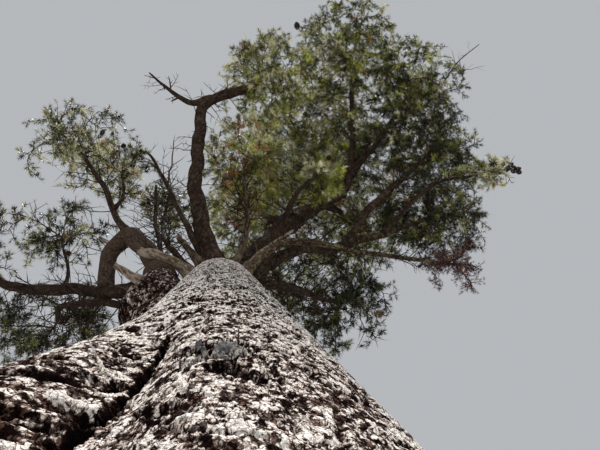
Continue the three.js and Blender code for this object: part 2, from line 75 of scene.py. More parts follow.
# name: parent, height up the trunk or share along the parent, bends, radii at root and tip, mass or tip
BOUGHS = {
    "leader": ("trunk", 7.35, [(0.82, -0.42, 9.0), (1.51, -0.78, 10.6)], (0.125, 0.062), "crown_top"),
    "front_bough": (
        "trunk", 7.3, [(-0.22, -0.99, 8.7), (-0.2, -1.66, 9.5), (-0.12, -2.28, 10.2)],
        (0.1, 0.062), "front_left",
    ),
    "front_top_bough": (
        "leader", 0.5, [(2.14, -1.05, 10.9), (2.41, -1.94, 11.6)], (0.062, 0.036), "upper_front",
    ),
    "front_right_bough": ("front_top_bough", 0.45, [(2.95, -2.05, 11.5)], (0.058, 0.036), "upper_right"),
    "mid_right_bough": ("front_top_bough", 0.3, [(2.26, -1.35, 11.35)], (0.052, 0.032), "centre_right"),
    "upright_bough": ("trunk", 7.1, [(0.34, -0.43, 7.9), (0.4, -0.8, 8.7)], (0.04, 0.026), "inner_left"),
    "right_bough": (
        "trunk", 7.2, [(1.01, -0.29, 8.25), (1.64, -0.28, 8.8), (2.08, -0.67, 9.4)],
        (0.074, 0.04), "right_upper",
    ),
    "right_side_bough": ("right_bough", 0.5, [(2.24, -0.38, 9.3)], (0.056, 0.034), "right_lower"),
    "right_tip_bough": ("right_side_bough", 0.55, [(3.2, -1.12, 9.65)], (0.036, 0.018), "right_tip"),
    "low_right_bough": (
        "trunk", 6.9, [(0.79, -0.4, 7.8), (1.84, -0.22, 8.6)], (0.044, 0.024), "right_rusty",
    ),
    "back_right_bough": ("trunk", 6.85, [(0.69, 0.06, 7.7)], (0.06, 0.032), "back_right"),
    "middle_bough": ("leader", 0.62, [(2.05, -0.7, 10.9)], (0.068, 0.038), "middle"),
    "centre_bough": ("leader", 0.3, [(1.08, -1.0, 8.9)], (0.044, 0.024), "centre_low"),
    "inner_bough": ("leader", 0.42, [(0.98, -0.56, 10.6)], (0.078, 0.042), "upper_middle"),
    "upper_back_bough": ("leader", 0.22, [(0.62, 0.42, 9.7)], (0.092, 0.048), "upper_back"),
    "back_bough": ("trunk", 7.05, [(0.16, 0.9, 8.1), (0.32, 1.5, 8.9)], (0.12, 0.055), "back"),
    "back_left_bough": (
        "trunk", 6.5, [(-0.42, 0.76, 7.5), (-0.76, 1.25, 8.2)], (0.112, 0.052), "back_left",
    ),
    "left_stem": (
        "trunk", 3.9, [(-0.3, -0.06, 4.9), (-0.43, -0.09, 6.1)], (0.232, 0.125), (-0.52, -0.06, 7.3),
    ),
    "left_bough": (
        "left_stem", 0.93, [(-1.02, 0.1, 7.62), (-1.4, 0.13, 8.05), (-1.9, 0.16, 8.35), (-2.4, 0.14, 8.6)],
        (0.078, 0.042), "far_left",
    ),
    "swan_bough": (
        "left_stem", 1,
        [(-0.62, -0.2, 7.65), (-0.79, -0.37, 7.98), (-1.0, -0.45, 8.19), (-1.15, -0.27, 8.16)],
        (0.108, 0.086), (-1.15, 0.095, 7.84),
    ),
    "left_upright_bough": (
        "swan_bough", 0.56, [(-1.11, -0.64, 8.4), (-1.33, -1.01, 8.85)], (0.04, 0.024), "left_top"
    ),
    "left_mid_bough": ("left_upright_bough", 0.3, [(-1.1, -0.92, 8.82)], (0.024, 0.016), "left_mid"),
    "left_low_bough": (
        "left_stem", 0.88, [(-0.9, 0.175, 7.39), (-1.2, 0.215, 7.7), (-1.64, 0.3, 8.03)],
        (0.046, 0.024), "left_low",
    ),
    "left_inner_bough": ("left_bough", 0.52, [(-1.72, -0.04, 8.64)], (0.026, 0.016), "left_inner"),
    "thin_bough": ("trunk", 7.0, [(-0.44, -0.33, 7.7), (-0.6, -0.52, 8.5)], (0.036, 0.02), "inner_thin"),
}
DEAD_LIMBS = {
    "dead_front_limb": (
        "front_bough", 0.84, [(-0.34, -2.32, 10.33), (-0.61, -2.48, 10.5)],
        (0.052, 0.009), (-0.99, -2.83, 10.82),
    ),
    "dead_left_limb": (
        "trunk", 7.2, [(-0.4, -0.72, 8.5), (-0.7, -1.23, 9.3), (-0.92, -1.52, 9.8)],
        (0.044, 0.015), (-1.09, -1.56, 9.94),
    ),
    "dead_upright_limb": (
        "left_stem", 0.86, [(-0.56, -0.33, 7.7), (-0.69, -0.64, 8.5)],
        (0.034, 0.016), (-0.74, -1.05, 9.15),
    ),
    "dead_right_twig": (
        "front_right_bough", 0.8, [(3.9, -2.7, 11.75), (4.5, -3.45, 12.05)],
        (0.022, 0.006), (5.06, -3.9, 12.3),
    ),
    "bright_spur": (
        "trunk", 7.0, [(0.42, -0.28, 7.45), (0.7, -0.43, 7.8)], (0.03, 0.012), (0.9, -0.52, 8.05),
    ),
    "stub_upper": ("trunk", 7.15, [(-0.43, -0.26, 7.33)], (0.062, 0.04), (-0.74, -0.34, 7.48)),
    "stub_lower": ("left_stem", 0.88, [(-0.76, -0.13, 7.06)], (0.046, 0.028), (-0.95, -0.23, 7.19)),
    "stub_swan": ("swan_bough", 0.68, [(-1.19, -0.37, 8.33)], (0.034, 0.016), (-1.32, -0.43, 8.43)),
    "stub_front": ("trunk", 7.2, [(-0.24, -0.33, 7.5)], (0.048, 0.03), (-0.37, -0.46, 7.78)),
}
# Short side twigs on each dead limb
SPURS = dict(dead_front_limb=4, dead_left_limb=3, dead_upright_limb=2, dead_right_twig=3, bright_spur=2)

# name: centre, radii and fullness of the space that a mass keeps to
MASSES = {
    "crown_top": ((1.98, -1.95, 13.9), (1.35, 1.35, 1.25), 1),
    "front_left": ((0.89, -2.86, 11.2), (0.9, 0.85, 0.78), 1),
    "upper_front": ((2.59, -3.56, 12.55), (1.2, 1.22, 0.9), 1),
    "upper_right": ((3.6, -2.9, 12.0), (1.05, 1.05, 0.88), 1),
    "inner_left": ((0.43, -1.29, 9.95), (0.76, 0.86, 0.72), 1),
    "right_upper": ((3.6, -1.7, 10.9), (0.95, 0.85, 0.75), 1),
    "right_lower": ((3.3, -0.62, 10.05), (1.0, 0.8, 0.68), 1),
    "right_tip": ((4.23, -1.33, 10.0), (0.64, 0.33, 0.34), 1),
    "right_rusty": ((3.43, 0.04, 9.35), (0.6, 0.44, 0.36), 0.8),
    "back_right": ((1.64, 0.52, 9.15), (0.88, 0.8, 0.56), 1),
    "centre_right": ((2.88, -1.97, 12.06), (0.88, 0.85, 0.7), 1),
    "middle": ((2.32, -0.52, 11.55), (1.15, 1.08, 0.88), 1),
    "centre_low": ((1.43, -1.21, 9.35), (0.56, 0.46, 0.43), 1),
    "upper_middle": ((0.88, -0.6, 12.5), (1.05, 1.05, 0.9), 1),
    "upper_back": ((0.59, 0.9, 11.8), (1.15, 1.1, 0.9), 1),
    "back": ((0.45, 2.3, 10.0), (1.25, 1.15, 0.9), 1),
    "back_left": ((-1.2, 2.0, 9.4), (1.2, 1.1, 0.8), 1),
    "far_left": ((-3.2, -0.3, 9.3), (0.85, 0.62, 0.52), 1),
    "left_top": ((-1.87, -1.6, 9.9), (0.84, 0.64, 0.62), 1),
    "left_mid": ((-1.18, -1.23, 9.35), (0.54, 0.54, 0.46), 1),
    "left_low": ((-1.95, 0.72, 8.9), (1.0, 0.64, 0.52), 1),
    "left_inner": ((-1.95, -0.43, 9.2), (0.8, 0.56, 0.45), 0.9),
    "inner_thin": ((-0.64, -0.83, 9.65), (0.48, 0.46, 0.48), 0.8),
}
# How the stem and the twigs of a mass grow, and how far the sprays at their ends reach, as in the solids
GROWTH = {
    "fewest_twigs": 5,
    "twigs_per_square": 1.45,
    "stem_beyond": 0.3,
    "twig_from": 0.2,
    "twig_to": 0.95,
    "shell_share": 0.99,
    "inner_every": 3,
    "inner_share": 0.5,
    "least_out": 0.2,
    "stem_bend": 0.45,
    "twig_bend": 0.3,
    "stem_taper": 0.6,
    "stem_start": 0.96,
}
SPRAY = {"reach": 0.6, "share": 0.7, "most": 1.3}

FULL_TURN = 2 * math.pi
ALMOST_TURN = 6.28  # radians: side twigs and tufts start at a turn drawn up to here
GOLDEN_ANGLE = math.pi * (3 - math.sqrt(5))
GOLDEN_SHARE = (math.sqrt(5) - 1) / 2
UP = np.array([0.0, 0.0, 1.0])
SIDEWAYS = np.array([1.0, 0.0, 0.0])
UPRIGHT = 0.9  # a heading that rises or falls by more than this counts as upright
NEARBY = 0.004  # share of a curve on each side over which its heading is taken


def seeded(seed):
    """The same run of numbers in [0, 1) for the same seed, as the solids draw them."""
    state = seed

    def draw():
        nonlocal state
        state = state * 16807 % 2147483647
        return state / 2147483647

    return draw


def smooth(value, start, end):
    share = np.clip((value - start) / (end - start), 0, 1)
    return share * share * (3 - 2 * share)


def unit(vectors):
    return vectors / np.maximum(np.linalg.norm(vectors, axis=-1, keepdims=True), 1e-12)


def hill(distance, half, power=2):
    """A rounded hill that is 1 high in its middle, with a flatter top for a higher power."""
    return np.exp(-((distance / half) ** power))


def degrees_from(angle, heading):
    return (np.degrees(angle) - heading + 180) % 360 - 180


def trunk_axis(height):
    share = np.asarray(height) / TRUNK["height"]
    x, y = TRUNK["lean"]
    return np.stack([x * share * share, y * share * share, share * TRUNK["height"]], axis=-1)


def trunk_radius(angle, height):
    bole = TRUNK["foot_radius"] - TRUNK["taper"] * height
    bole = bole + TRUNK["flare"] * np.exp(-height / TRUNK["flare_height"])
    ribs = TRUNK["rib_depth"] * np.exp(-height / TRUNK["rib_height"]) * np.cos(TRUNK["ribs"] * angle)
    lobe_heading = LOBE["heading"] + LOBE["turn"] * smooth(height, LOBE["turn_from"], LOBE["fade"][1])
    lobe = LOBE["depth"] * hill(degrees_from(angle, lobe_heading), LOBE["spread"])
    lobe = lobe * (1 - smooth(height, *LOBE["fade"]))
    hollow = HOLLOW["depth"] * hill(degrees_from(angle, HOLLOW["heading"]), HOLLOW["spread"])
    hollow = hollow * (1 - smooth(height, *HOLLOW["fade"]))
    dome = np.maximum(0, (height - TRUNK["dome_from"]) / (TRUNK["height"] - TRUNK["dome_from"]))
    return (bole * (1 + ribs) + lobe - hollow) * (1 - (1 - TRUNK["dome_end"]) * dome * dome)


class Curve:
    """A path whose places and headings are given by the share of its length."""

    def __init__(self, samples):
        self.samples = np.asarray(samples, float)
        steps = np.linalg.norm(np.diff(self.samples, axis=0), axis=1)
        self.reached = np.concatenate([[0], np.cumsum(steps)])
        self.length = self.reached[-1]

    def at(self, share):
        along = np.asarray(share) * self.length
        return np.stack([np.interp(along, self.reached, self.samples[:, k]) for k in range(3)], axis=-1)

    def heading(self, share):
        share = np.asarray(share)
        return unit(self.at(np.minimum(share + NEARBY, 1)) - self.at(np.maximum(share - NEARBY, 0)))


def through(points, per_span=60):
    """A smooth curve through points that keeps to their spacing."""
    points = [np.asarray(point, float) for point in points]
    ends = [2 * points[0] - points[1], *points, 2 * points[-1] - points[-2]]
    samples = []
    for i in range(len(points) - 1):
        before, start, end, after = ends[i : i + 4]
        gaps = [np.linalg.norm(b - a) ** 0.5 for a, b in ((before, start), (start, end), (end, after))]
        out = (start - before) / gaps[0] - (end - before) / (gaps[0] + gaps[1]) + (end - start) / gaps[1]
        into = (end - start) / gaps[1] - (after - start) / (gaps[1] + gaps[2]) + (after - end) / gaps[2]
        out, into = out * gaps[1], into * gaps[1]
        t = np.linspace(0, 1, per_span, endpoint=False)[:, None]
        curve = start + out * t + (-3 * start + 3 * end - 2 * out - into) * t**2
        samples.append(curve + (2 * start - 2 * end + out + into) * t**3)
    return Curve(np.concatenate([*samples, points[-1][None]]))


def bend(points, t):
    """Places on the simple bends whose three points lie along axis -2 of the array."""
    a, b, c = points[..., 0, :], points[..., 1, :], points[..., 2, :]
    t = np.asarray(t)[..., None]
    return a * (1 - t) ** 2 + 2 * b * t * (1 - t) + c * t**2


def bend_heading(points, t):
    a, b, c = points[..., 0, :], points[..., 1, :], points[..., 2, :]
    t = np.asarray(t)[..., None]
    return unit((b - a) * (1 - t) + (c - b) * t)


def along_bends(bends, count):
    """Simple bends as paths of this many points."""
    return bend(bends[:, None], np.linspace(0, 1, count))


# Patterns on a sheet that closes on itself after a whole number of cells
def scramble(x, y, salt):
    """One number in [0, 1) for each whole place on the sheet."""
    mixed = x.astype(np.uint32) * np.uint32(374761393) + y.astype(np.uint32) * np.uint32(668265263)
    mixed = mixed + np.uint32(salt * 974634777 % 4294967296)
    mixed = (mixed ^ (mixed >> np.uint32(13))) * np.uint32(1274126177)
    mixed = (mixed ^ (mixed >> np.uint32(15))) * np.uint32(2246822519)
    return (mixed ^ (mixed >> np.uint32(16))) / 4294967296


def noise(u, v, around, salt):
    """Smooth noise from -1 to 1."""
    column, row = np.floor(u).astype(np.int64), np.floor(v).astype(np.int64)
    x, y = u - column, v - row
    x, y = x * x * (3 - 2 * x), y * y * (3 - 2 * y)
    left, right = column % around, (column + 1) % around
    low = scramble(left, row, salt) * (1 - x) + scramble(right, row, salt) * x
    high = scramble(left, row + 1, salt) * (1 - x) + scramble(right, row + 1, salt) * x
    return 2 * (low * (1 - y) + high * y) - 1


def rough_noise(u, v, around, salt, octaves=3):
    total = 0
    for octave in range(octaves):
        factor = 2**octave
        total = total + noise(u * factor, v * factor, around * factor, salt + octave) / factor
    return total


def cells(u, v, around, salt):
    """The nearest scattered cell: how far inside its edge, its own number, and the way to its centre."""
    column, row = np.floor(u).astype(np.int64), np.floor(v).astype(np.int64)
    nearest, second = np.full(u.shape, 9.0), np.full(u.shape, 9.0)
    number, across, along = np.zeros(u.shape), np.zeros(u.shape), np.zeros(u.shape)
    for i in (-1, 0, 1):
        for j in (-1, 0, 1):
            key, level = (column + i) % around, row + j
            x = column + i + 0.1 + 0.8 * scramble(key, level, salt) - u
            y = level + 0.1 + 0.8 * scramble(key, level, salt + 1) - v
            far = np.hypot(x, y)
            closer = far < nearest
            second = np.where(closer, nearest, np.minimum(second, far))
            nearest = np.where(closer, far, nearest)
            number = np.where(closer, scramble(key, level, salt + 2), number)
            across = np.where(closer, x, across)
            along = np.where(closer, y, along)
    return second - nearest, number, across, along


# Sizes of the bark's marks in metres: across the stem, along it, and of the waves in their edges
FURROWS = (0.16, 0.40, 0.28)
PLATES = (0.06, 0.11, 0.05)
FLAKES = (0.021, 0.038, 0.018)
CHIPS = (0.0105, 0.0195)


def frayed(turn, along, around, wave, salt):
    """Shifts across and along a stem that make the edges of its cells ragged."""
    u, v = turn * around * 2, along / wave
    return 0.5 * rough_noise(u, v, around * 2, salt), 0.4 * rough_noise(u, v, around * 2, salt + 5)


def bark(turn, along, girth, depths, salt):
    """Height of the bark above its wood in metres, and how pale it is, at a share of a turn round a stem.

    Furrows part it into plates, the plates carry flakes at different levels, and these carry small chips.
    Each stands out most at its lower edge. A flake is pale where it has kept its weathered face, and brown
    where that has been shed; its near-white faces are partly painted sunlight, and the darkening at the rims
    of the chips and in the furrows is painted shade. The depths are those of the furrows, plates and flakes
    in metres.
    """
    furrow, plate, flake = depths
    broad = max(3, round(girth / FURROWS[0]))
    plates = max(4, round(girth / PLATES[0]))
    flakes = max(6, round(girth / FLAKES[0]))
    chips = max(9, round(girth / CHIPS[0]))
    sway = 0.6 * rough_noise(turn * broad, along / FURROWS[2], broad, salt)
    gap, _, _, _ = cells(turn * broad + 0.5 * sway, along / FURROWS[1] + 0.4 * sway, broad, salt + 10)
    fray_u, fray_v = frayed(turn, along, plates, PLATES[2], salt + 20)
    edge, level, across, down = cells(turn * plates + fray_u, along / PLATES[1] + fray_v, plates, salt + 30)
    fray_u, fray_v = frayed(turn, along, flakes, FLAKES[2], salt + 40)
    rim, shade, side, low = cells(turn * flakes + fray_u, along / FLAKES[1] + fray_v, flakes, salt + 50)
    bit, fleck, _, bottom = cells(turn * chips + fray_v, along / CHIPS[1] + fray_u, chips, salt + 60)
    in_furrow = 1 - smooth(gap, 0.01, 0.13)
    inside = smooth(edge, 0.0, 0.06)
    whole = smooth(rim, 0.0, 0.08)
    small = smooth(bit, 0.0, 0.12)
    height = plate * inside * (0.2 + 0.8 * level + 0.4 * down + 0.2 * across)
    height = height + flake * whole * (0.1 + 0.9 * shade + 0.7 * low + 0.2 * side)
    height = height + 0.15 * flake * small * (fleck + 0.6 * bottom) - furrow * in_furrow
    kept = 0.40 * shade + 0.52 * fleck + 0.2 * (level - 0.5)
    face = smooth(kept, 0.42, 0.49)
    # how much painted shade the furrows take, from how deep they are against the plates
    wear_and_furrow_shade = min(1.0, furrow / max(plate, 1e-6) / 2)
    pale = 0.12 + 0.08 * level + 0.14 * shade
    # pale kept faces, partly painted sunlight
    pale = pale + 0.42 * face * (0.5 + 0.5 * whole) * (0.6 + 0.4 * inside) * (0.5 + 0.5 * small)
    # painted shade at the rims of the chips and down in the furrows
    pale = pale + 0.20 * (fleck - 0.5) - 0.14 * (1 - small) - 0.25 * wear_and_furrow_shade * in_furrow
    return height, pale


def grid_faces(rows, columns):
    """Two triangles for each field of a grid that closes round its columns."""
    row, column = np.meshgrid(np.arange(rows - 1), np.arange(columns), indexing="ij")
    a = row * columns + column
    b = row * columns + (column + 1) % columns
    c, d = a + columns, b + columns
    return np.stack([a, b, d, a, d, c], axis=-1).reshape(-1, 3)


def fan(ring, centre, flip=False):
    """Triangles that close a ring of points to one in its middle."""
    after = np.roll(ring, -1)
    middle = np.full(len(ring), centre)
    return np.stack([after, ring, middle] if flip else [ring, after, middle], axis=-1)


LARGEST = 180000  # triangles in one mesh, with room for the last body to be added


class Heap:
    """Closed bodies gathered for one mesh, with values for each of their points."""

    def __init__(self, *values):
        self.values, self.bodies = values, []

    def add(self, points, faces, **values):
        points = np.asarray(points, float).reshape(-1, 3)
        stacks = [np.asarray(values[name], float).ravel() for name in self.values]
        stacks = [np.broadcast_to(stack, len(points)) for stack in stacks]
        self.bodies.append((points, np.asarray(faces), *stacks))

    def pieces(self, name, material, slot, nodes, soft=True):
        """The bodies as one mesh, or as several of equal size where there are too many for one."""
        total = sum(len(body[1]) for body in self.bodies)
        parts = math.ceil(total / LARGEST)
        reached, part, own = 0, 1, Heap(*self.values)
        for body in self.bodies:
            own.bodies.append(body)
            reached += len(body[1])
            if reached >= total * part / parts:
                own.piece(f"{name}_{part}" if parts > 1 else name, material, slot, nodes, soft)
                part, own = part + 1, Heap(*self.values)

    def piece(self, name, material, slot, nodes, soft=True):
        points, faces, *stacks = zip(*self.bodies)
        firsts = np.cumsum([0] + [len(body) for body in points[:-1]])
        faces = np.concatenate([own + first for own, first in zip(faces, firsts)])
        points = np.concatenate(points)
        mesh = bpy.data.meshes.new(name)
        mesh.vertices.add(len(points))
        mesh.vertices.foreach_set("co", points.astype(np.float32).ravel())
        mesh.loops.add(faces.size)
        mesh.loops.foreach_set("vertex_index", faces.astype(np.int32).ravel())
        mesh.polygons.add(len(faces))
        mesh.polygons.foreach_set("loop_start", np.arange(0, faces.size, 3, dtype=np.int32))
        mesh.update(calc_edges=True)
        for key, stack in zip(self.values, stacks):
            attribute = mesh.attributes.new(key, "FLOAT", "POINT")
            attribute.data.foreach_set("value", np.concatenate(stack).astype(np.float32))
        if soft:
            mesh.shade_smooth()
        mesh.materials.append(material)
        thing = bpy.data.objects.new(name, mesh)
        bpy.context.scene.collection.objects.link(thing)
        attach(thing, "root")
        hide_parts(*nodes)


# Materials
class Look:
    """A material's nodes, with short calls for the ones used here."""

    def __init__(self, name):
        self.material = bpy.data.materials.new(name)
        self.material.use_nodes = True
        self.tree = self.material.node_tree
        self.place = self.node("ShaderNodeTexCoord").outputs["Object"]

    def feed(self, node, inputs):
        """Gives a node's inputs plain values, or the outputs of other nodes."""
        for name, value in inputs.items():
            if isinstance(value, bpy.types.NodeSocket):
                self.tree.links.new(value, node.inputs[name])
            else:
                node.inputs[name].default_value = value

    def node(self, kind, inputs=None, **settings):
        made = self.tree.nodes.new(kind)
        for name, value in settings.items():
            setattr(made, name, value)
        self.feed(made, inputs or {})
        return made

    def value(self, name):
        return self.node("ShaderNodeAttribute", attribute_name=name).outputs["Fac"]

    def noise(self, scale, detail=3, roughness=0.55, stretch=None):
        place = self.place
        if stretch:
            place = self.node("ShaderNodeMapping", {"Vector": place, "Scale": stretch}).outputs["Vector"]
        inputs = {"Vector": place, "Scale": scale, "Detail": detail, "Roughness": roughness}
        return self.node("ShaderNodeTexNoise", inputs).outputs["Fac"]

    def scales(self, width, height, fray):
        """Ragged scales sized in millimetres: a number for each, and how far inside its rim a place is."""
        waves = {"Vector": self.place, "Scale": 700 / width, "Detail": 2}
        shift = self.node("ShaderNodeTexNoise", waves).outputs["Color"]
        ragged = {0: shift, 1: (2 * fray, 2 * fray, 2.4 * fray), 2: self.place}
        place = self.node("ShaderNodeVectorMath", ragged, operation="MULTIPLY_ADD").outputs[0]
        drawn_out = {"Vector": place, "Scale": (1, 1, width / height)}
        place = self.node("ShaderNodeMapping", drawn_out).outputs["Vector"]
        inputs = {"Vector": place, "Scale": 1000 / width}
        colour = self.node("ShaderNodeTexVoronoi", inputs, feature="F1").outputs["Color"]
        rim = self.node("ShaderNodeTexVoronoi", inputs, feature="DISTANCE_TO_EDGE").outputs["Distance"]
        return self.node("ShaderNodeSeparateColor", {"Color": colour}).outputs["Red"], rim

    def math(self, operation, first, second):
        return self.node("ShaderNodeMath", {0: first, 1: second}, operation=operation).outputs[0]

    def spread(self, value, low, high, to_low=0.0, to_high=1.0):
        inputs = {"Value": value, "From Min": low, "From Max": high, "To Min": to_low, "To Max": to_high}
        return self.node("ShaderNodeMapRange", inputs).outputs["Result"]

    def ramp(self, value, stops):
        made = self.node("ShaderNodeValToRGB", {"Fac": value})
        elements = made.color_ramp.elements
        while len(elements) < len(stops):
            elements.new(0.5)
        for element, (place, colour) in zip(elements, stops):
            element.position = place
            element.color = (*colour, 1)
        return made.outputs["Color"]

    def mix(self, share, first, second):
        inputs = {0: share}
        for socket, value in ((6, first), (7, second)):
            inputs[socket] = value if isinstance(value, bpy.types.NodeSocket) else (*value, 1)
        return self.node("ShaderNodeMix", inputs, data_type="RGBA").outputs[2]

    def bump(self, height, distance, strength=1.0, below=None):
        inputs = {"Height": height, "Distance": distance, "Strength": strength}
        if below:
            inputs["Normal"] = below
        return self.node("ShaderNodeBump", inputs).outputs["Normal"]

    def finish(self, colour, roughness, normal, specular):
        inputs = {"Base Color": colour, "Roughness": roughness, "Specular IOR Level": specular}
        if normal:
            inputs["Normal"] = normal
        self.feed(self.tree.nodes["Principled BSDF"], inputs)
        return self.material


def bark_look():
    look = Look("trunk_bark")
    speckle = look.noise(90, 5, 0.75)
    plate_tone, plate_rim = look.scales(26, 62, 0.014)
    tone, rim = look.scales(12, 22, 0.009)
    fine_tone, fine_rim = look.scales(5.5, 10, 0.004)
    # each pattern runs between its first two numbers, and adds between its last two to how pale the bark is
    pale = look.value("pale")
    for pattern in (
        (tone, 0, 1, -0.24, 0.28),
        (plate_tone, 0, 1, -0.15, 0.21),
        # the rims of the scales are darkened, partly their own dark gaps and partly painted shade between
        # them
        (plate_rim, 0.0, 0.06, -0.30, 0.0),
        (fine_tone, 0, 1, -0.13, 0.15),
        (rim, 0.0, 0.10, -0.28, 0.0),
        (fine_rim, 0.0, 0.10, -0.10, 0.0),
        (speckle, 0.34, 0.66, -0.17, 0.17),
    ):
        pale = look.math("ADD", pale, look.spread(*pattern))
    # the top of the ramp is near white: the palest faces carry a painted highlight of sunlight
    colour = look.ramp(
        pale,
        [
            (0.0, (0.009, 0.005, 0.005)),
            (0.13, (0.032, 0.022, 0.020)),
            (0.29, (0.100, 0.075, 0.067)),
            (0.41, (0.22, 0.177, 0.158)),
            (0.46, (0.50, 0.425, 0.385)),
            (0.62, (0.84, 0.765, 0.72)),
            (0.92, (0.98, 0.955, 0.93)),
        ],
    )
    on_plates = look.spread(plate_tone, 0.3, 0.6)
    ruddy = look.math("MULTIPLY", look.spread(fine_tone, 0.70, 0.74, 0.0, 0.4), on_plates)
    colour = look.mix(ruddy, colour, (0.20, 0.105, 0.075))
    rust = look.spread(look.noise(9, 4, 0.6), 0.58, 0.75, 0.0, 0.3)
    colour = look.mix(rust, colour, (0.10, 0.046, 0.032))
    moss = look.spread(look.noise(5.5, 5, 0.7), 0.68, 0.76, 0.0, 0.25)
    colour = look.mix(moss, colour, (0.17, 0.15, 0.06))
    # painted shade: where the pale value falls below zero, deep in the crack and the hollows, the bark is
    # near black
    colour = look.mix(look.spread(look.value("pale"), -0.45, -0.08), (0.003, 0.002, 0.002), colour)
    greys = [(0.35, (0.05, 0.05, 0.055)), (0.5, (0.19, 0.195, 0.21)), (0.7, (0.40, 0.40, 0.42))]
    wear_and_furrow_shade = look.ramp(look.noise(75, 5, 0.7), greys)
    colour = look.mix(look.spread(look.value("plain"), 0.3, 0.8, 0.0, 0.9), colour, wear_and_furrow_shade)
    grain = look.bump(look.noise(190, 3, 0.7, (1, 1, 0.6)), 0.0015, 0.8)
    raised = look.math("ADD", fine_tone, look.spread(fine_rim, 0.0, 0.15, -0.6, 0.0))
    chips = look.bump(raised, 0.0015, 0.7, grain)
    raised = look.math("ADD", tone, look.spread(rim, 0.0, 0.12, -0.8, 0.0))
    flakes = look.bump(raised, 0.004, 0.9, chips)
    return look.finish(colour, look.spread(speckle, 0.2, 0.8, 0.7, 0.98), flakes, 0.0)


def limb_look(name, dark, mid, light, lichen_colour):
    look = Look(name)
    speckle = look.noise(45, 4, 0.65)
    # how pale the bark is: weathered faces, with the painted shade of furrows and the painted light and
    # shade of broken stubs
    weathered = look.spread(look.value("pale"), 0, 1, 0.16, 0.76)
    pale = look.math("ADD", weathered, look.spread(speckle, 0.3, 0.7, -0.2, 0.2))
    pale = look.math("ADD", pale, look.math("SUBTRACT", look.value("tone"), 0.5))
    colour = look.ramp(pale, [(0.1, dark), (0.5, mid), (0.95, light)])
    colour = look.mix(look.spread(look.noise(4, 3), 0.45, 0.7, 0.0, 0.35), colour, (0.08, 0.048, 0.036))
    patch = look.math("MULTIPLY", look.spread(look.noise(14, 5, 0.7), 0.50, 0.62), look.value("lichen"))
    colour = look.mix(patch, colour, lichen_colour)
    grain = look.bump(look.noise(140, 3, 0.7), 0.0015, 0.8)
    scales = look.bump(look.noise(60, 4, 0.6), 0.004, 0.8, grain)
    return look.finish(colour, look.spread(speckle, 0.2, 0.8, 0.72, 0.98), scales, 0.04)


# Painted light and shade on the tufts: how bright the darkest and the brightest tufts are against their own
# colour, and how few are bright
TUFT_LIGHT = (0.14, 4.0)
TUFT_CONTRAST = 1.5
# No needle is brighter than this colour
BRIGHTEST_NEEDLE = (0.95, 0.93, 0.80)


def needle_look(name, root, tip, vary):
    look = Look(name)
    # each needle is painted darker at its root as shade and paler towards its tip as a highlight
    colour = look.mix(look.spread(look.value("along"), 0.1, 1.0), root, tip)
    patch = look.spread(look.noise(1.6, 2), 0.35, 0.65, 0.0, 0.55)
    colour = look.mix(patch, colour, vary)
    fleck = look.spread(look.noise(40, 2), 0.35, 0.7, 0.65, 1.35)
    lit = look.math("POWER", look.value("tone"), TUFT_CONTRAST)
    bright = look.math("MULTIPLY", fleck, look.spread(lit, 0, 1, *TUFT_LIGHT))
    scaled = look.node("ShaderNodeVectorMath", {0: colour, "Scale": bright}, operation="SCALE").outputs[0]
    limits = {0: scaled, 1: BRIGHTEST_NEEDLE}
    held = look.node("ShaderNodeVectorMath", limits, operation="MINIMUM").outputs[0]
    roughness = look.spread(look.noise(30, 2), 0.3, 0.7, 0.42, 0.6)
    return look.finish(held, roughness, None, 0.22)


def cone_look():
    look = Look("cone_scales")
    speckle = look.noise(90, 3)
    browns = [(0.3, (0.014, 0.008, 0.008)), (0.55, (0.045, 0.025, 0.021)), (0.8, (0.12, 0.08, 0.06))]
    colour = look.ramp(speckle, browns)
    return look.finish(colour, look.spread(speckle, 0.2, 0.8, 0.5, 0.85), look.bump(speckle, 0.002), 0.3)


def floor_look():
    look = Look("pale_floor")
    colour = look.ramp(look.noise(0.7, 4), [(0.3, (0.30, 0.30, 0.295)), (0.7, (0.325, 0.325, 0.32))])
    return look.finish(colour, look.spread(look.noise(3, 3), 0.3, 0.7, 0.8, 0.95), None, 0.2)


# The trunk
FRONT = 272  # degrees: the side whose bark is seen from nearby, which gets the finest mesh
FRONT_SPREAD = 30  # degrees
FRONT_WEIGHT = 5  # how much closer together the columns stand there
COLUMNS = 520
# Steps between rows in metres: at the foot, how much smaller they get, the smallest, and the largest above
FOOT_STEP = 0.026
FINER_BY = 0.0202
FINEST_STEP = 0.0058
LARGEST_STEP = 0.03
# Heights between which the steps get smaller, the height where they grow again, and how fast
FINER_BETWEEN = (1.2, 1.7)
GROW_FROM = 2.8
GROW_BY = 1.6


def trunk_angles():
    """Angles round the trunk, closest together where the bark is seen from nearby."""
    fine = np.radians(np.linspace(0, 360, 3601))
    weight = 1 + FRONT_WEIGHT * hill(degrees_from(fine, FRONT), FRONT_SPREAD)
    reached = np.concatenate([[0], np.cumsum((weight[1:] + weight[:-1]) / 2)])
    return np.interp(np.arange(COLUMNS) / COLUMNS * reached[-1], reached, fine)


def trunk_heights():
    """Heights of the rows, closest together at the height of the eye and above."""
    heights = [0.0]
    while heights[-1] < TRUNK["height"]:
        z = heights[-1]
        if z < GROW_FROM:
            step = FOOT_STEP - FINER_BY * smooth(z, *FINER_BETWEEN)
        else:
            step = min(FINEST_STEP * (1 + (z - GROW_FROM) * GROW_BY), LARGEST_STEP)
        heights.append(z + step)
    heights[-1] = TRUNK["height"]
    return np.array(heights)


TRUNK_GIRTH = 2 * math.pi * 0.55
EYE_RADIUS = 0.57  # the trunk's radius where it is seen from nearby
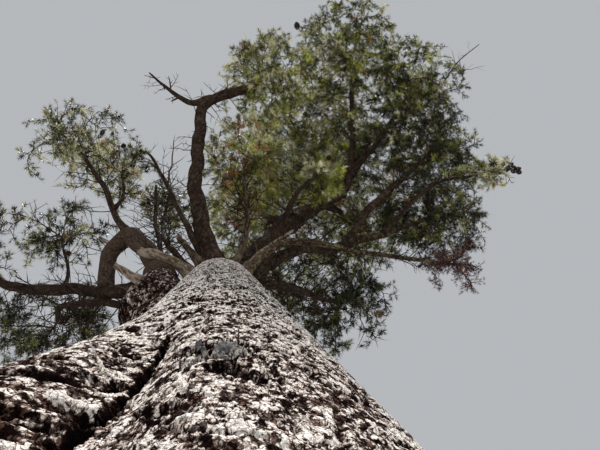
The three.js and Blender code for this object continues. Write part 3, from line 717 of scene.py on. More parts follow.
# Depths of the furrows, plates and flakes in metres, over the whole trunk and low on its side lobe
TRUNK_BARK = (0.007, 0.0045, 0.0022)
LOBE_BARK = (0.012, 0.012, 0.003)
# The middle of the lobe's thick plates and how far they reach to each side, in degrees
THICK_HEADING = 236
THICK_SPREAD = 15
# The deep crack beside the lobe: height and heading of its path, the heights between which it opens and
# closes, its depth in metres, half its width and half the width of its shade in degrees
CRACK_PATH = [
    (1.7, 244), (2.13, 249.3), (2.23, 250.9), (2.37, 252.7), (2.53, 253.6), (2.79, 254.9), (3.1, 256.5),
]
CRACK = {"opens": (1.75, 1.95), "closes": (2.78, 2.95), "depth": 0.08, "half": 1.1, "shade_half": 1.5}
# The worn grey plate over the front: its heading and height, how much it leans, and half its size
WORN_PLATE = {"heading": 271.2, "height": 2.42, "slant": 0.5, "half": 0.033}
# Hollows where thick plates have come away, mostly on the side lobe: heading, height, half width, half
# height and depth
HOLES = [
    (238.8, 2.36, 0.060, 0.035, 0.022),
    (247.2, 2.20, 0.036, 0.032, 0.034),
    (243.8, 2.10, 0.040, 0.028, 0.022),
    (239.5, 2.03, 0.060, 0.030, 0.020),
    (248.3, 2.42, 0.022, 0.035, 0.022),
    (243.5, 2.42, 0.028, 0.030, 0.022),
    (245.5, 2.62, 0.022, 0.030, 0.018),
    (236.0, 2.55, 0.026, 0.030, 0.018),
    (265.2, 2.52, 0.036, 0.045, 0.038),
    (271.4, 2.54, 0.018, 0.030, 0.028),
    (276.4, 2.54, 0.018, 0.030, 0.026),
    (272.0, 2.29, 0.034, 0.042, 0.034),
    (274.6, 2.24, 0.026, 0.035, 0.026),
    (262.0, 2.08, 0.024, 0.018, 0.022),
    (264.5, 2.01, 0.020, 0.012, 0.016),
    (258.5, 2.12, 0.018, 0.018, 0.016),
    (276.2, 2.21, 0.022, 0.018, 0.016),
    (285.0, 2.75, 0.022, 0.030, 0.012),
    (290.0, 2.40, 0.020, 0.025, 0.012),
    (262.0, 3.50, 0.030, 0.050, 0.014),
]


def trunk_relief(angle, height):
    """How far the bark stands out of the smooth trunk, how pale it is, and where the worn plate lies."""
    turn = angle / FULL_TURN
    relief, pale = bark(turn, height, TRUNK_GIRTH, TRUNK_BARK, 1)
    # thicker plates low on the side lobe, darkened there as painted shade
    on_lobe = hill(degrees_from(angle, THICK_HEADING), THICK_SPREAD) * (1 - smooth(height, 1.0, 4.0))
    thick, thick_pale = bark(turn, height, TRUNK_GIRTH * 0.6, LOBE_BARK, 301)
    relief = relief + on_lobe * 0.5 * (thick - 0.006)
    pale = pale - on_lobe * (0.06 + 0.4 * (0.4 - thick_pale))
    # higher up the bark is lighter and its plates differ more from each other than from their own flakes;
    # the side lobe is darkened again as painted shade
    higher = smooth(height, 2.4, 4.2)
    pale = 0.49 + 0.09 * higher + (pale - 0.4) * (1 + 1.5 * higher) - 0.06 * on_lobe
    # the deep crack beside the lobe
    still = np.zeros_like(height)
    wander = 0.6 * noise(still, height / 0.12, 8, 91) + 0.5 * noise(still, height / 0.04, 8, 92)
    beside = degrees_from(angle, np.interp(height, *zip(*CRACK_PATH)) + wander)
    crack_open = smooth(height, *CRACK["opens"]) * (1 - smooth(height, *CRACK["closes"]))
    crack = hill(beside, CRACK["half"], 4) * crack_open
    relief = relief * (1 - 0.6 * crack) - CRACK["depth"] * crack
    # painted shade in and beside the crack
    pale = pale - 1.3 * hill(beside, CRACK["shade_half"], 4) * crack_open
    # the hollows
    ragged = 1 + 0.6 * rough_noise(turn * 251, height / 0.03, 251, 93)
    for heading, level, half_width, half_height, depth in HOLES:
        arc = np.radians(degrees_from(angle, heading)) * EYE_RADIUS
        away = ((arc / half_width) ** 2 + ((height - level) / half_height) ** 2) * ragged
        hole = hill(away, 1, 1.6)
        relief = relief - depth * hole * (0.5 + 60 * np.clip(thick, 0, 0.01))
        # painted shade in each hollow
        pale = pale - 0.6 * hole
    # a worn plate that leans out over a hollow
    arc = np.radians(degrees_from(angle, WORN_PLATE["heading"])) * EYE_RADIUS
    rise = height - WORN_PLATE["height"] - WORN_PLATE["slant"] * arc
    ragged = 1 + 0.6 * rough_noise(turn * 241, height / 0.022, 241, 94)
    away = np.hypot(arc, rise) / WORN_PLATE["half"] * ragged
    lump = hill(away, 1, 4)
    ditch = hill(away - 1.45, 0.35) * (0.7 + 0.6 * (rise < 0))
    relief = relief * (1 - 0.4 * lump) + (0.02 + 0.35 * rise) * lump - 0.018 * ditch
    # painted shade in the ditch round the plate, deepest below it
    pale = pale - 0.32 * ditch * (1 - lump)
    return relief, pale, lump


def grow_trunk(material):
    """The trunk in three meshes that meet in a row of points, closed at its foot and over its top."""
    heights = trunk_heights()
    angle, height = np.meshgrid(trunk_angles(), heights)
    relief, pale, lump = trunk_relief(angle, height)
    radius = trunk_radius(angle, height) + relief
    around = np.stack([np.cos(angle), np.sin(angle), np.zeros_like(angle)], axis=-1)
    points = trunk_axis(heights)[:, None, :] + radius[..., None] * around
    rows = len(heights)
    ring = np.arange(COLUMNS)
    thirds = [0, int(rows * 0.34), int(rows * 0.67), rows - 1]
    for name, first, last in zip(("trunk_low", "trunk_middle", "trunk_high"), thirds, thirds[1:]):
        body = points[first : last + 1].reshape(-1, 3)
        tones = pale[first : last + 1].ravel()
        plain = lump[first : last + 1].ravel()
        faces = [grid_faces(last + 1 - first, COLUMNS)]
        for row, middle in ((0, 0.0), (rows - 1, TRUNK["height"] + 0.01)):
            if row in (first, last):
                faces.append(fan(ring + (row - first) * COLUMNS, len(body), flip=row == 0))
                body = np.concatenate([body, [trunk_axis(middle)]])
                tones = np.append(tones, 0.2)
                plain = np.append(plain, 0)
        heap = Heap("pale", "plain")
        heap.add(body, np.concatenate(faces), pale=tones, plain=plain)
        heap.piece(name, material, "bark", ["trunk"], soft=False)


# Limbs: how pale their bark is, and how much lichen grows on it
USUAL_BARK = (0.19, 0.08)
LIMB_BARK = {
    "swan_bough": (0.42, 0.08),
    "left_bough": (0.13, 0.08),
    "left_low_bough": (0.1, 0.08),
    "front_bough": (0.22, 0.08),
    "upright_bough": (0.46, 0.25),
    "leader": (0.18, 0.15),
    "right_bough": (0.2, 0.2),
    "right_side_bough": (0.19, 0.3),
    "low_right_bough": (0.36, 0.65),
    "stub_upper": (0.82, 0.5),
    "stub_lower": (0.82, 0.5),
    "stub_swan": (0.75, 0.08),
    "stub_front": (0.19, 0.4),
    "bright_spur": (0.8, 0.75),
}
# Limbs whose plates and flakes are less deep than usual, as a share
SMOOTH_BARK = {"swan_bough": 0.35}
# How much a limb widens where it leaves its parent
FOOT_FLARE = {"left_stem": 0.08}
USUAL_FLARE = 0.5
# Size of a limb mesh's fields in metres: their length on limbs with a larger radius than this and on the
# others, and their width
THICK_LIMB = 0.1
LIMB_STEPS = (0.028, 0.034)
COLUMN_WIDTH = 0.015
# Waves along a limb's path, in half turns over this many metres, and how far they swing in its own radii
CROOK_SPAN = 0.9
CROOK_WAVES = (2, 4.7, 2.3, 5.1)
CROOK = 0.16
KNOTS = 2.2  # old knots on a metre of a limb
# The deepest plates and flakes of a limb in metres, and as a share of the radius at its root
LIMB_PLATE = (0.007, 0.04)
LIMB_FLAKE = (0.0035, 0.03)
MIDDLE_PALE = 0.38
# Short limbs that broke off: knotty, with a torn end
BROKEN = ("stub_upper", "stub_lower", "stub_swan", "stub_front", "bright_spur")
# Lumps round a limb, their length in radii of its root, and how far they stand out, usually and if broken
LUMPS = (3, 5, 0.045)
BROKEN_LUMPS = (5, 1.6, 0.2)


def frames_along(points):
    """Two directions square to a path at each of its points, carried along it without twist."""
    headings = unit(np.gradient(points, axis=0))
    side = np.cross(headings[0], SIDEWAYS if abs(headings[0][2]) > UPRIGHT else UP)
    sides = []
    for heading in headings:
        side = unit(side - heading * np.dot(side, heading))
        sides.append(side)
    sides = np.array(sides)
    return sides, np.cross(headings, sides)


def limb_curve(spec, curves):
    parent, at, via, _, end = spec
    start = trunk_axis(at) if parent == "trunk" else curves[parent].at(min(at, SUNK_SHARE))
    if isinstance(end, str):
        centre, radii = np.array(MASSES[end][0]), np.array(MASSES[end][1])
        end = centre + unit((np.array(via[-1]) - centre) / radii) * radii * ENTRY_SHARE
    return through([start, *via, end])


def leaving(points, parent, curves, radii):
    """The first point of a path that lies outside what carries it."""
    if parent == "trunk":
        away = points - trunk_axis(points[:, 2])
        angle = np.arctan2(away[:, 1], away[:, 0])
        low = np.minimum(points[:, 2], TRUNK["height"])
        outside = np.hypot(away[:, 0], away[:, 1]) > trunk_radius(angle, low)
        outside |= points[:, 2] > TRUNK["height"]
    else:
        samples = curves[parent].samples
        gaps = np.linalg.norm(points[:, None] - samples[None], axis=2)
        share = curves[parent].reached[gaps.argmin(axis=1)] / curves[parent].length
        outside = gaps.min(axis=1) > radii[parent][0] + (radii[parent][1] - radii[parent][0]) * share
    return int(np.argmax(outside)) if outside.any() else 0


def crooked(curve, share, root, tip, phases):
    """Points along a limb, crooked by a little less than its own thickness, and true to it at both ends."""
    points = curve.at(share)
    sides, others = frames_along(points)
    crook = np.sin(math.pi * share) * CROOK * (root + (tip - root) * share)
    waves = curve.length / CROOK_SPAN
    swings = [np.sin(share * waves * rate * math.pi + phase) for rate, phase in zip(CROOK_WAVES, phases)]
    across = swings[0] + 0.6 * swings[1]
    other = swings[2] + 0.6 * swings[3]
    return points + sides * (crook * across)[:, None] + others * (crook * other)[:, None]


def grow_limb(heap, name, spec, curves, radii, seed):
    curve = curves[name]
    parent, _, _, (root, tip), end = spec
    count = max(8, int(curve.length / (LIMB_STEPS[0] if root > THICK_LIMB else LIMB_STEPS[1])))
    share = np.linspace(0, 1, count)
    rng = np.random.default_rng(seed)
    points = crooked(curve, share, root, tip, rng.random(4) * FULL_TURN)
    sides, others = frames_along(points)
    run = (share - share[leaving(points, parent, curves, radii)]) * curve.length
    flare = 1 + FOOT_FLARE.get(name, USUAL_FLARE) * np.exp(-np.maximum(run, 0) / (1.3 * root))
    thick = (root + (tip - root) * share) * flare
    for _ in range(int(curve.length * KNOTS)):
        at = rng.random()
        thick = thick * (1 + rng.uniform(0.02, 0.08) * hill((share - at) * curve.length, 1.1 * root))
    columns = int(np.clip(2 * math.pi * root / COLUMN_WIDTH, 9, 96))
    turn = np.arange(columns) / columns
    turns, alongs = np.meshgrid(turn, share * curve.length)
    rough = SMOOTH_BARK.get(name, 1.0)
    plate, flake = (min(most, part * root) * rough for most, part in (LIMB_PLATE, LIMB_FLAKE))
    relief, pale = bark(turns, alongs, math.pi * (root + tip), (plate * 0.6, plate, flake), seed)
    pale = MIDDLE_PALE + (pale - MIDDLE_PALE) * rough
    # the side stem's bark is darkened all over as painted shade
    if name == "left_stem":
        pale = pale * 0.9 - 0.25
    around, long, stand = BROKEN_LUMPS if name in BROKEN else LUMPS
    lumps = stand * rough_noise(turns * around, alongs / (long * root), around, seed + 7)
    # on broken limbs raised lumps are painted lighter and sunk places darker, as painted light and shade
    if name in BROKEN:
        pale = MIDDLE_PALE + 1.9 * (pale - MIDDLE_PALE) + 2.2 * lumps
    radius = thick[:, None] * (1 + lumps) + relief
    angle = turns * 2 * math.pi
    ring = sides[:, None] * np.cos(angle)[..., None] + others[:, None] * np.sin(angle)[..., None]
    grid = points[:, None] + ring * radius[..., None]
    # the closed root lies inside what carries it, and the tip is rounded, uneven or torn
    headings = unit(np.gradient(points, axis=0))
    if not isinstance(end, str):
        uneven = 0.25 * root * (scramble(np.arange(columns), np.zeros(columns, int), seed) - 0.3)
        grid[-1] = grid[-1] + headings[-1] * uneven[:, None]
    bulge = 0.3
    if name in BROKEN:
        torn = 0.9 * root * rough_noise(turn * 7, np.zeros(columns), 7, seed + 9)
        grid[-1] = grid[-1] + headings[-1] * np.maximum(torn, -0.2 * root)[:, None]
        bulge = -0.2
    ends = [points[0] - headings[0] * 0.3 * root, points[-1] + headings[-1] * bulge * tip]
    body = np.concatenate([grid.reshape(-1, 3), ends])
    first = np.arange(columns)
    last = first + (count - 1) * columns
    closed = [fan(first, len(body) - 2, flip=True), fan(last, len(body) - 1)]
    faces = np.concatenate([grid_faces(count, columns), *closed])
    tones = np.append(pale.ravel(), [0.3, 0.45])
    tone, lichen = LIMB_BARK.get(name, USUAL_BARK)
    heap.add(body, faces, pale=tones, tone=tone, lichen=lichen)
    return Curve(points)


# Slim twigs, all of one kind at once
def slim_twigs(heap, paths, thick, sides, tone):
    """Each path becomes a closed tube that ends in a point. thick holds its radii, for all paths or each."""
    twigs, steps, _ = paths.shape
    thick = np.broadcast_to(thick, (twigs, steps))
    headings = unit(np.gradient(paths, axis=1))
    flat = np.abs(headings[:, 0, 2:3]) > UPRIGHT
    side = np.cross(headings.mean(axis=1), np.where(flat, SIDEWAYS, UP))
    side = unit(side[:, None] - headings * (side[:, None] * headings).sum(axis=2, keepdims=True))
    other = np.cross(headings, side)
    angle = np.arange(sides) * 2 * math.pi / sides
    ring = side[:, :, None] * np.cos(angle)[:, None] + other[:, :, None] * np.sin(angle)[:, None]
    points = paths[:, :-1, None] + (ring * thick[:, :, None, None])[:, :-1]
    points = np.concatenate([points.reshape(twigs, -1, 3), paths[:, -1:]], axis=1)
    last = (steps - 2) * sides
    foot = np.array([[0, k + 1, k] for k in range(1, sides - 1)])
    faces = np.concatenate([grid_faces(steps - 1, sides), fan(np.arange(sides) + last, last + sides), foot])
    offsets = np.arange(twigs)[:, None, None] * points.shape[1]
    heap.add(points.reshape(-1, 3), (faces[None] + offsets).reshape(-1, 3), pale=0.4, tone=tone, lichen=0.1)


def square_to(headings, angles):
    """Directions square to headings, turned round them by angles."""
    flat = np.abs(headings[..., 2:3]) > UPRIGHT
    side = unit(np.cross(headings, np.where(flat, SIDEWAYS, UP)))
    other = np.cross(headings, side)
    return side * np.cos(angles)[..., None] + other * np.sin(angles)[..., None]


def leaning(headings, lean, turn):
    """Headings tipped over by lean, towards the side that turn gives."""
    return headings * np.cos(lean)[..., None] + square_to(headings, turn) * np.sin(lean)[..., None]


DEAD_TONE = 0.45


def spurs(heap, name, curve, spec, seed):
    """The short side twigs of a dead limb, where the solids have them, each with fine twigs of its own."""
    draw = seeded(seed)
    rng = np.random.default_rng(seed)
    limb_root, limb_tip = spec[3]
    shares = np.linspace(0, 1, 8)
    for i in range(SPURS[name]):
        share = 0.35 + 0.6 * (i + 0.5) / SPURS[name]
        root, ahead = curve.at(share), curve.heading(share)
        side = square_to(ahead[None], np.array([i * GOLDEN_ANGLE]))[0]
        reach = curve.length * (0.1 + 0.12 * draw())
        tip = root + side * reach + ahead * 0.6 * reach
        middle = (root + tip) / 2 + side * 0.12 * reach * rng.uniform(-1, 1) - ahead * 0.1 * reach
        path = along_bends(np.array([[root, middle, tip]]), len(shares))[0]
        path = path + rng.normal(0, 0.012 * reach, path.shape) * np.sin(math.pi * shares)[:, None]
        thick = 0.6 * (limb_root + (limb_tip - limb_root) * share) * (1 - 0.7 * shares)
        slim_twigs(heap, path[None], thick, 5, DEAD_TONE)
        for k in (3, 5):
            away = square_to(unit(tip - root)[None], rng.uniform(0, ALMOST_TURN, 1))[0]
            fork = path[k] + away * reach * 0.35 + unit(tip - root) * reach * 0.3
            fine = np.array([path[k], (path[k] + fork) / 2 + 0.02 * reach * away, fork])
            slim_twigs(heap, fine[None], [thick[k] * 0.7, thick[k] * 0.45, 0], 3, DEAD_TONE)


# How many fine dead twigs stand on a metre of a limb, and the usual length of one in metres
USUAL_TWIGGY = (3.0, 0.35)
TWIGGY = {
    "left_stem": (1.0, 0.3),
    "leader": (9.0, 0.42),
    "front_bough": (9.0, 0.36),
    "upright_bough": (16.0, 0.36),
    "low_right_bough": (18.0, 0.27),
    "right_bough": (14.0, 0.4),
    "back_right_bough": (18.0, 0.4),
    "centre_bough": (18.0, 0.34),
    "inner_bough": (12.0, 0.4),
    "left_bough": (9.0, 0.4),
    "left_low_bough": (16.0, 0.42),
    "left_inner_bough": (16.0, 0.4),
    "left_upright_bough": (7.0, 0.36),
    "left_mid_bough": (8.0, 0.3),
    "swan_bough": (3.5, 0.34),
    "thin_bough": (20.0, 0.36),
    "dead_upright_limb": (20.0, 0.36),
    "dead_left_limb": (9.0, 0.3),
    "dead_front_limb": (7.0, 0.22),
    "dead_right_twig": (3.0, 0.2),
    "bright_spur": (6.0, 0.35),
}
BARE_TONE = 0.14
THICKEST_BARE = 0.009  # radius of a bare twig at its root in metres, at most


def bare_twigs(heap, curve, spec, seed, per_metre, usual):
    """Fine dead twigs that stand out of a limb, crooked and forked."""
    rng = np.random.default_rng(seed)
    count = rng.poisson(per_metre * curve.length)
    if not count:
        return
    limb_root, limb_tip = spec[3]
    share = rng.uniform(0.25, 0.97, count)
    root, heading = curve.at(share), curve.heading(share)
    side = square_to(heading, rng.uniform(0, FULL_TURN, count))
    away = unit(side + heading * rng.uniform(0.1, 0.9, (count, 1)))
    length = usual * rng.uniform(0.45, 1.7, count)[:, None]
    steps = np.linspace(0, 1, 6)[None, :, None]
    path = root[:, None] + away[:, None] * length[:, None] * steps
    drift = np.cumsum(rng.normal(0, 0.035, (count, 6, 3)), axis=1) * length[:, None]
    path = path + drift * steps
    start = np.minimum(0.3 * (limb_root + (limb_tip - limb_root) * share), THICKEST_BARE)[:, None]
    slim_twigs(heap, path, start * np.linspace(1, 0.25, 6), 3, BARE_TONE)
    for k in (2, 3, 4):
        side = unit(square_to(away, rng.uniform(0, FULL_TURN, count)) + 0.8 * away)
        fork = path[:, k] + side * length * rng.uniform(0.2, 0.45, (count, 1))
        bow = (path[:, k] + fork) / 2 + rng.normal(0, 0.02, (count, 3)) * length
        fine = np.stack([path[:, k], bow, fork], axis=1)
        slim_twigs(heap, fine, start * np.array([0.55, 0.35, 0.15]), 3, BARE_TONE)


# Needle masses
FINER = 94  # finer twigs for each cubic metre of the product of a space's radii
DENSER = {
    "left_low": 1.8,
    "back_right": 1.3,
    "right_lower": 1.3,
    "right_upper": 1.15,
    "right_rusty": 1.4,
    "right_tip": 1.2,
    "far_left": 1.9,
    "left_inner": 1.6,
    "left_top": 1.25,
    "left_mid": 1.3,
    "inner_thin": 1.6,
}
SIDE_TWIGS = {"twig": 8, "finer": 5}
SIDE_TUFTS = 7  # on each side twig
OWN_TUFTS = {"twig": 10, "finer": 7}  # on the twig itself
# Radii of the twigs from root to tip in metres, and how pale their bark is: the older, the paler
TWIG_RADII = np.linspace(0.0135, 0.0045, 8)
FINER_RADII = np.linspace(0.0085, 0.0035, 6)
SIDE_TWIG_RADII = np.array([0.0055, 0.0045, 0.0035, 0.0025])
STALK_RADII = np.array([0.003, 0.0018])
WOOD_TONES = {"stem": 0.42, "twig": 0.4, "finer": 0.38, "side": 0.36, "stalk": 0.34}
# Tufts: how far they lean off their twig in degrees, the length of their shoots in metres and from which
# length one shows, and their size against the usual one
TUFT = {"lean": (38, 68), "shoot": (0.015, 0.085), "shows": 0.045, "size": (0.75, 1.25)}
SMALL_TUFTS = {"purple": 0.68}
NEEDLES = 14  # in each tuft
NEEDLE = {"length": 0.062, "width": 0.0084, "shoot": 0.05}  # metres
# How far out the tufts' shoots may stand, as a share of their space's radius: about this far, at most this
# far, and the waves that make it uneven
USUAL_EDGE = 1.0
FARTHEST_EDGE = 1.05
UNEVEN = 0.13
EDGE_WAVES = np.array([[7.1, 2.3, -4.2], [-3.7, 8.2, 3.1], [4.9, -5.3, 8.7]])
# Needles keep this far inside the solids' own box, in metres
INSIDE_BOX = 0.03
# A kind with a smaller share in a mass than this has no whole twigs there
RARE = 0.1
# Share of the tufts that are of their twig's kind, and of the side twigs that are like their twig
OWN_KIND = 0.78
SIDE_KIND = 0.55
SIDE_BARE = 0.6

# Shares of the kinds of spray in each mass, in the order of KINDS, the share of its twigs that are bare,
# and the share of the tufts that have kept their needles
KINDS = ("olive", "yellow", "shaded_deep", "pale", "rust", "purple")
USUAL = ((0.38, 0.22, 0.16, 0.20, 0.04, 0.0), 0.06, 0.96)
# masses out of the sun take more of the deep kind, as painted shade, and sunlit ones more of the pale kind,
# as painted glints
SPRAY_KINDS = {
    "crown_top": ((0.32, 0.26, 0.10, 0.29, 0.03, 0.0), 0.08, 0.95),
    "upper_front": ((0.32, 0.27, 0.12, 0.26, 0.03, 0.0), 0.08, 0.95),
    "front_left": ((0.24, 0.32, 0.09, 0.32, 0.03, 0.0), 0.05, 0.95),
    "inner_left": ((0.16, 0.30, 0.09, 0.27, 0.18, 0.0), 0.05, 0.95),
    "centre_low": ((0.20, 0.44, 0.09, 0.23, 0.04, 0.0), 0.05, 0.95),
    "middle": ((0.26, 0.24, 0.15, 0.32, 0.03, 0.0), 0.06, 0.96),
    "upper_middle": ((0.28, 0.26, 0.12, 0.31, 0.03, 0.0), 0.06, 0.96),
    "right_upper": ((0.28, 0.06, 0.56, 0.07, 0.03, 0.0), 0.05, 0.97),
    "right_lower": ((0.26, 0.04, 0.60, 0.07, 0.03, 0.0), 0.06, 0.97),
    "upper_right": ((0.36, 0.14, 0.36, 0.12, 0.02, 0.0), 0.06, 0.96),
    "centre_right": ((0.36, 0.12, 0.36, 0.13, 0.03, 0.0), 0.06, 0.96),
    "right_tip": ((0.24, 0.12, 0.06, 0.54, 0.04, 0.0), 0.05, 0.85),
    "right_rusty": ((0.04, 0.0, 0.06, 0.0, 0.04, 0.86), 0.2, 0.85),
    "back_right": ((0.20, 0.02, 0.73, 0.02, 0.03, 0.0), 0.12, 0.88),
    "back": ((0.34, 0.08, 0.48, 0.08, 0.02, 0.0), 0.08, 0.92),
    "far_left": ((0.32, 0.05, 0.40, 0.17, 0.06, 0.0), 0.36, 0.74),
    "left_top": ((0.26, 0.05, 0.14, 0.49, 0.06, 0.0), 0.1, 0.6),
    "left_mid": ((0.28, 0.05, 0.18, 0.41, 0.08, 0.0), 0.14, 0.6),
    "left_low": ((0.16, 0.02, 0.76, 0.04, 0.02, 0.0), 0.3, 0.92),
    "left_inner": ((0.30, 0.04, 0.52, 0.10, 0.04, 0.0), 0.4, 0.65),
    "inner_thin": ((0.30, 0.06, 0.40, 0.18, 0.06, 0.0), 0.32, 0.78),
}

# The right tip's needles end at this x in metres, and dark cones stand on a twig beyond them
CONES_FROM = 4.42
CONE_TWIG = [(4.2, -1.34, 10.0), (4.42, -1.4, 10.03), (4.66, -1.36, 10.0)]
CONES_AT_TIP = 13


def dealt(shares, count, rng):
    """Numbers of kinds in their given shares, in mixed order."""
    places = (np.arange(count) + rng.random()) / max(count, 1)
    kinds = np.searchsorted(np.cumsum(shares)[:-1], places)
    return rng.permutation(kinds)


def depth_in(mass, points):
    centre, radii, _ = MASSES[mass]
    return np.linalg.norm((points - np.array(centre)) / np.array(radii), axis=-1)


def is_own(mass, points, edge=1.0):
    """True where points lie in a mass's space and nearer to its centre than to any other's."""
    own = depth_in(mass, points)
    clear = own < edge
    for other in MASSES:
        if other != mass:
            clear &= own < depth_in(other, points)
    return clear


def mass_bends(mass, bough, seed):
    """The stem and the twigs of a mass as simple bends, by the rule and the draws of the solids."""
    centre, radii, fullness = MASSES[mass]
    centre, radii = np.array(centre), np.array(radii)
    draw = seeded(seed)
    start, heading = bough.at(SUNK_SHARE), bough.heading(1)
    way = centre - start
    ahead = np.linalg.norm(way) * GROWTH["stem_bend"]
    stem = np.array([start, start + heading * ahead, centre + way * GROWTH["stem_beyond"]])
    x, y, z = radii
    reach = SPRAY["reach"] * min((x * y * z) ** (1 / 6), SPRAY["most"] * min(x, y, z))
    square = x * y + y * z + z * x
    count = int((GROWTH["fewest_twigs"] + GROWTH["twigs_per_square"] * square) * fullness + 0.5)
    twigs = []
    for i in range(count):
        height = 1 - 2 * (i + 0.5) / count
        turn = i * GOLDEN_ANGLE + draw()
        level = math.sqrt(1 - height * height)
        outward = np.array([level * math.cos(turn), level * math.sin(turn), height]) * radii
        shell = GROWTH["shell_share"] - reach * SPRAY["share"] / np.linalg.norm(outward)
        every = GROWTH["inner_every"]
        out = shell * GROWTH["inner_share"] if i % every == every - 1 else shell
        end = centre + outward * max(out, GROWTH["least_out"])
        span = GROWTH["twig_to"] - GROWTH["twig_from"]
        share = GROWTH["twig_from"] + span * (i * GOLDEN_SHARE % 1)
        root = bend(stem, share)
        control = root + bend_heading(stem, share) * np.linalg.norm(end - root) * GROWTH["twig_bend"]
        twigs.append([root, control, end])
    return stem, np.array(twigs), reach


def needles_of(heap, tufts, axes, sizes, tones, rng):
    """A brush of needles round the last stretch of each shoot: one slim pointed blade each."""
    if not len(tufts):
        return
    shape = (len(tufts), NEEDLES)
    order = (np.arange(NEEDLES) + 0.5) / NEEDLES
    back = 1 - order[None] + rng.uniform(-0.08, 0.08, shape)
    lean = np.radians(16 + 62 * np.clip(back, 0, 1) ** 0.8)
    turn = np.arange(NEEDLES)[None] * GOLDEN_ANGLE + rng.uniform(0, FULL_TURN, (len(tufts), 1))
    away = unit(leaning(axes[:, None], lean, turn))
    size = sizes[:, None, None]
    root = tufts[:, None] - axes[:, None] * NEEDLE["shoot"] * (back[..., None] - 0.15) * size
    length = NEEDLE["length"] * size * rng.uniform(0.78, 1.12, (*shape, 1))
    tip = root + away * length + UP * 0.012 * size * rng.uniform(-0.4, 1, (*shape, 1))
    flat = unit(np.cross(away, rng.normal(0, 1, (*shape, 3))))
    half = flat * NEEDLE["width"] / 2 * size * rng.uniform(0.8, 1.2, (*shape, 1))
    points = np.stack([root - half, root + half, tip], axis=2).reshape(-1, 3)
    faces = np.arange(len(points)).reshape(-1, 3)
    heap.add(points, faces, along=np.tile([0.0, 0.0, 1.0], len(faces)), tone=np.repeat(tones, NEEDLES * 3))


def places_along(paths, share):
    """Places and headings at shares of the way along paths, which are given as even steps."""
    last = paths.shape[1] - 1
    low = np.clip((share * last).astype(int), 0, last - 1)
    part = (share * last - low)[..., None]
    rows = np.arange(len(paths))[:, None]
    first, second = paths[rows, low], paths[rows, low + 1]
    return first * (1 - part) + second * part, unit(second - first)


SHORTEST_TWIG = 0.07  # metres between a twig's ends


def finer_twigs(mass, joints, headings, rng):
    """Twigs from the nearest older twig to points spread evenly through the space, each a bend."""
    centre, radii, fullness = MASSES[mass]
    count = max(8, round(FINER * DENSER.get(mass, 1) * np.prod(radii) * fullness))
    i = np.arange(count)
    height = 1 - 2 * (i + 0.5) / count
    level = np.sqrt(1 - height * height)
    turn = i * GOLDEN_ANGLE + rng.uniform(0, FULL_TURN)
    out = 0.98 * ((i * GOLDEN_SHARE + 0.37) * 1.2207 % 1) ** 0.31
    outward = np.stack([level * np.cos(turn), level * np.sin(turn), height], axis=1)
    ends = np.array(centre) + outward * out[:, None] * np.array(radii) + rng.normal(0, 0.05, (count, 3))
    ends = ends[is_own(mass, ends)]
    order = np.linalg.norm(ends[:, None] - joints[None], axis=2).min(axis=1).argsort()
    bends = []
    for end in ends[order]:
        way = end - joints
        far = np.linalg.norm(way, axis=1)
        forward = (way * headings).sum(axis=1) / np.maximum(far, 1e-6)
        best = np.argmin(far * (1.45 - 0.6 * forward))
        root, heading = joints[best], headings[best]
        if far[best] < SHORTEST_TWIG:
            continue
        control = root + heading * far[best] * 0.35 + way[best] * 0.15
        twig = np.array([root, control, end])
        bends.append(twig)
        shares = np.array([0.3, 0.5, 0.7, 0.88])
        joints = np.concatenate([joints, bend(twig[None], shares)])
        headings = np.concatenate([headings, bend_heading(twig[None], shares)])
    return np.array(bends)


def grow_tufts(mass, paths, share, kind, bare, woods, sprays, rng):
    """Tufts on short shoots along twigs; the last on each stands at its end."""
    shares, _, full = SPRAY_KINDS.get(mass, USUAL)
    count, each = share.shape
    here, ahead = places_along(paths, share)
    at_end = np.arange(each) == each - 1
    turn = np.arange(each)[None] * GOLDEN_ANGLE + rng.uniform(0, ALMOST_TURN, (count, 1))
    lean = np.radians(rng.uniform(*TUFT["lean"], (count, each))) * ~at_end
    axis = unit(leaning(ahead, lean, turn) + UP * 0.3)
    shoot = rng.uniform(*TUFT["shoot"], (count, each)) * np.where(at_end, 0.3, 1)
    tuft = here + axis * shoot[..., None]
    size = rng.uniform(*TUFT["size"], (count, each))
    outer = tuft + axis * NEEDLE["length"]
    low_box, high_box = np.array(cad_box[0]) + INSIDE_BOX, np.array(cad_box[1]) - INSIDE_BOX
    waves = np.sin(tuft @ EDGE_WAVES.T).mean(axis=-1)
    edge = np.minimum(USUAL_EDGE + UNEVEN * waves, FARTHEST_EDGE)
    fits = is_own(mass, tuft, edge) & (outer > low_box).all(-1) & (outer < high_box).all(-1)
    if mass == "right_tip":
        fits &= tuft[..., 0] < CONES_FROM
    leafy = fits & ~bare[:, None] & (rng.random((count, each)) < full)
    stalk = np.stack([here, tuft], axis=2)[fits & (shoot > TUFT["shows"])]
    slim_twigs(woods, stalk, STALK_RADII, 3, WOOD_TONES["stalk"])
    # each tuft's painted light and shade, partly shared along its twig
    tones = rng.random((count, 1)) * 0.4 + rng.random((count, each)) ** 1.4 * 0.6
    # most tufts are like their twig, and some are of another kind of the mass
    others = np.repeat(dealt(shares, count, rng)[:, None], each, axis=1)
    kinds = np.where(rng.random((count, each)) < OWN_KIND, kind[:, None], others)
    for number, name in enumerate(KINDS):
        chosen = leafy & (kinds == number)
        sizes = size[chosen] * SMALL_TUFTS.get(name, 1.0)
        needles_of(sprays[name], tuft[chosen], axis[chosen], sizes, tones[chosen], rng)


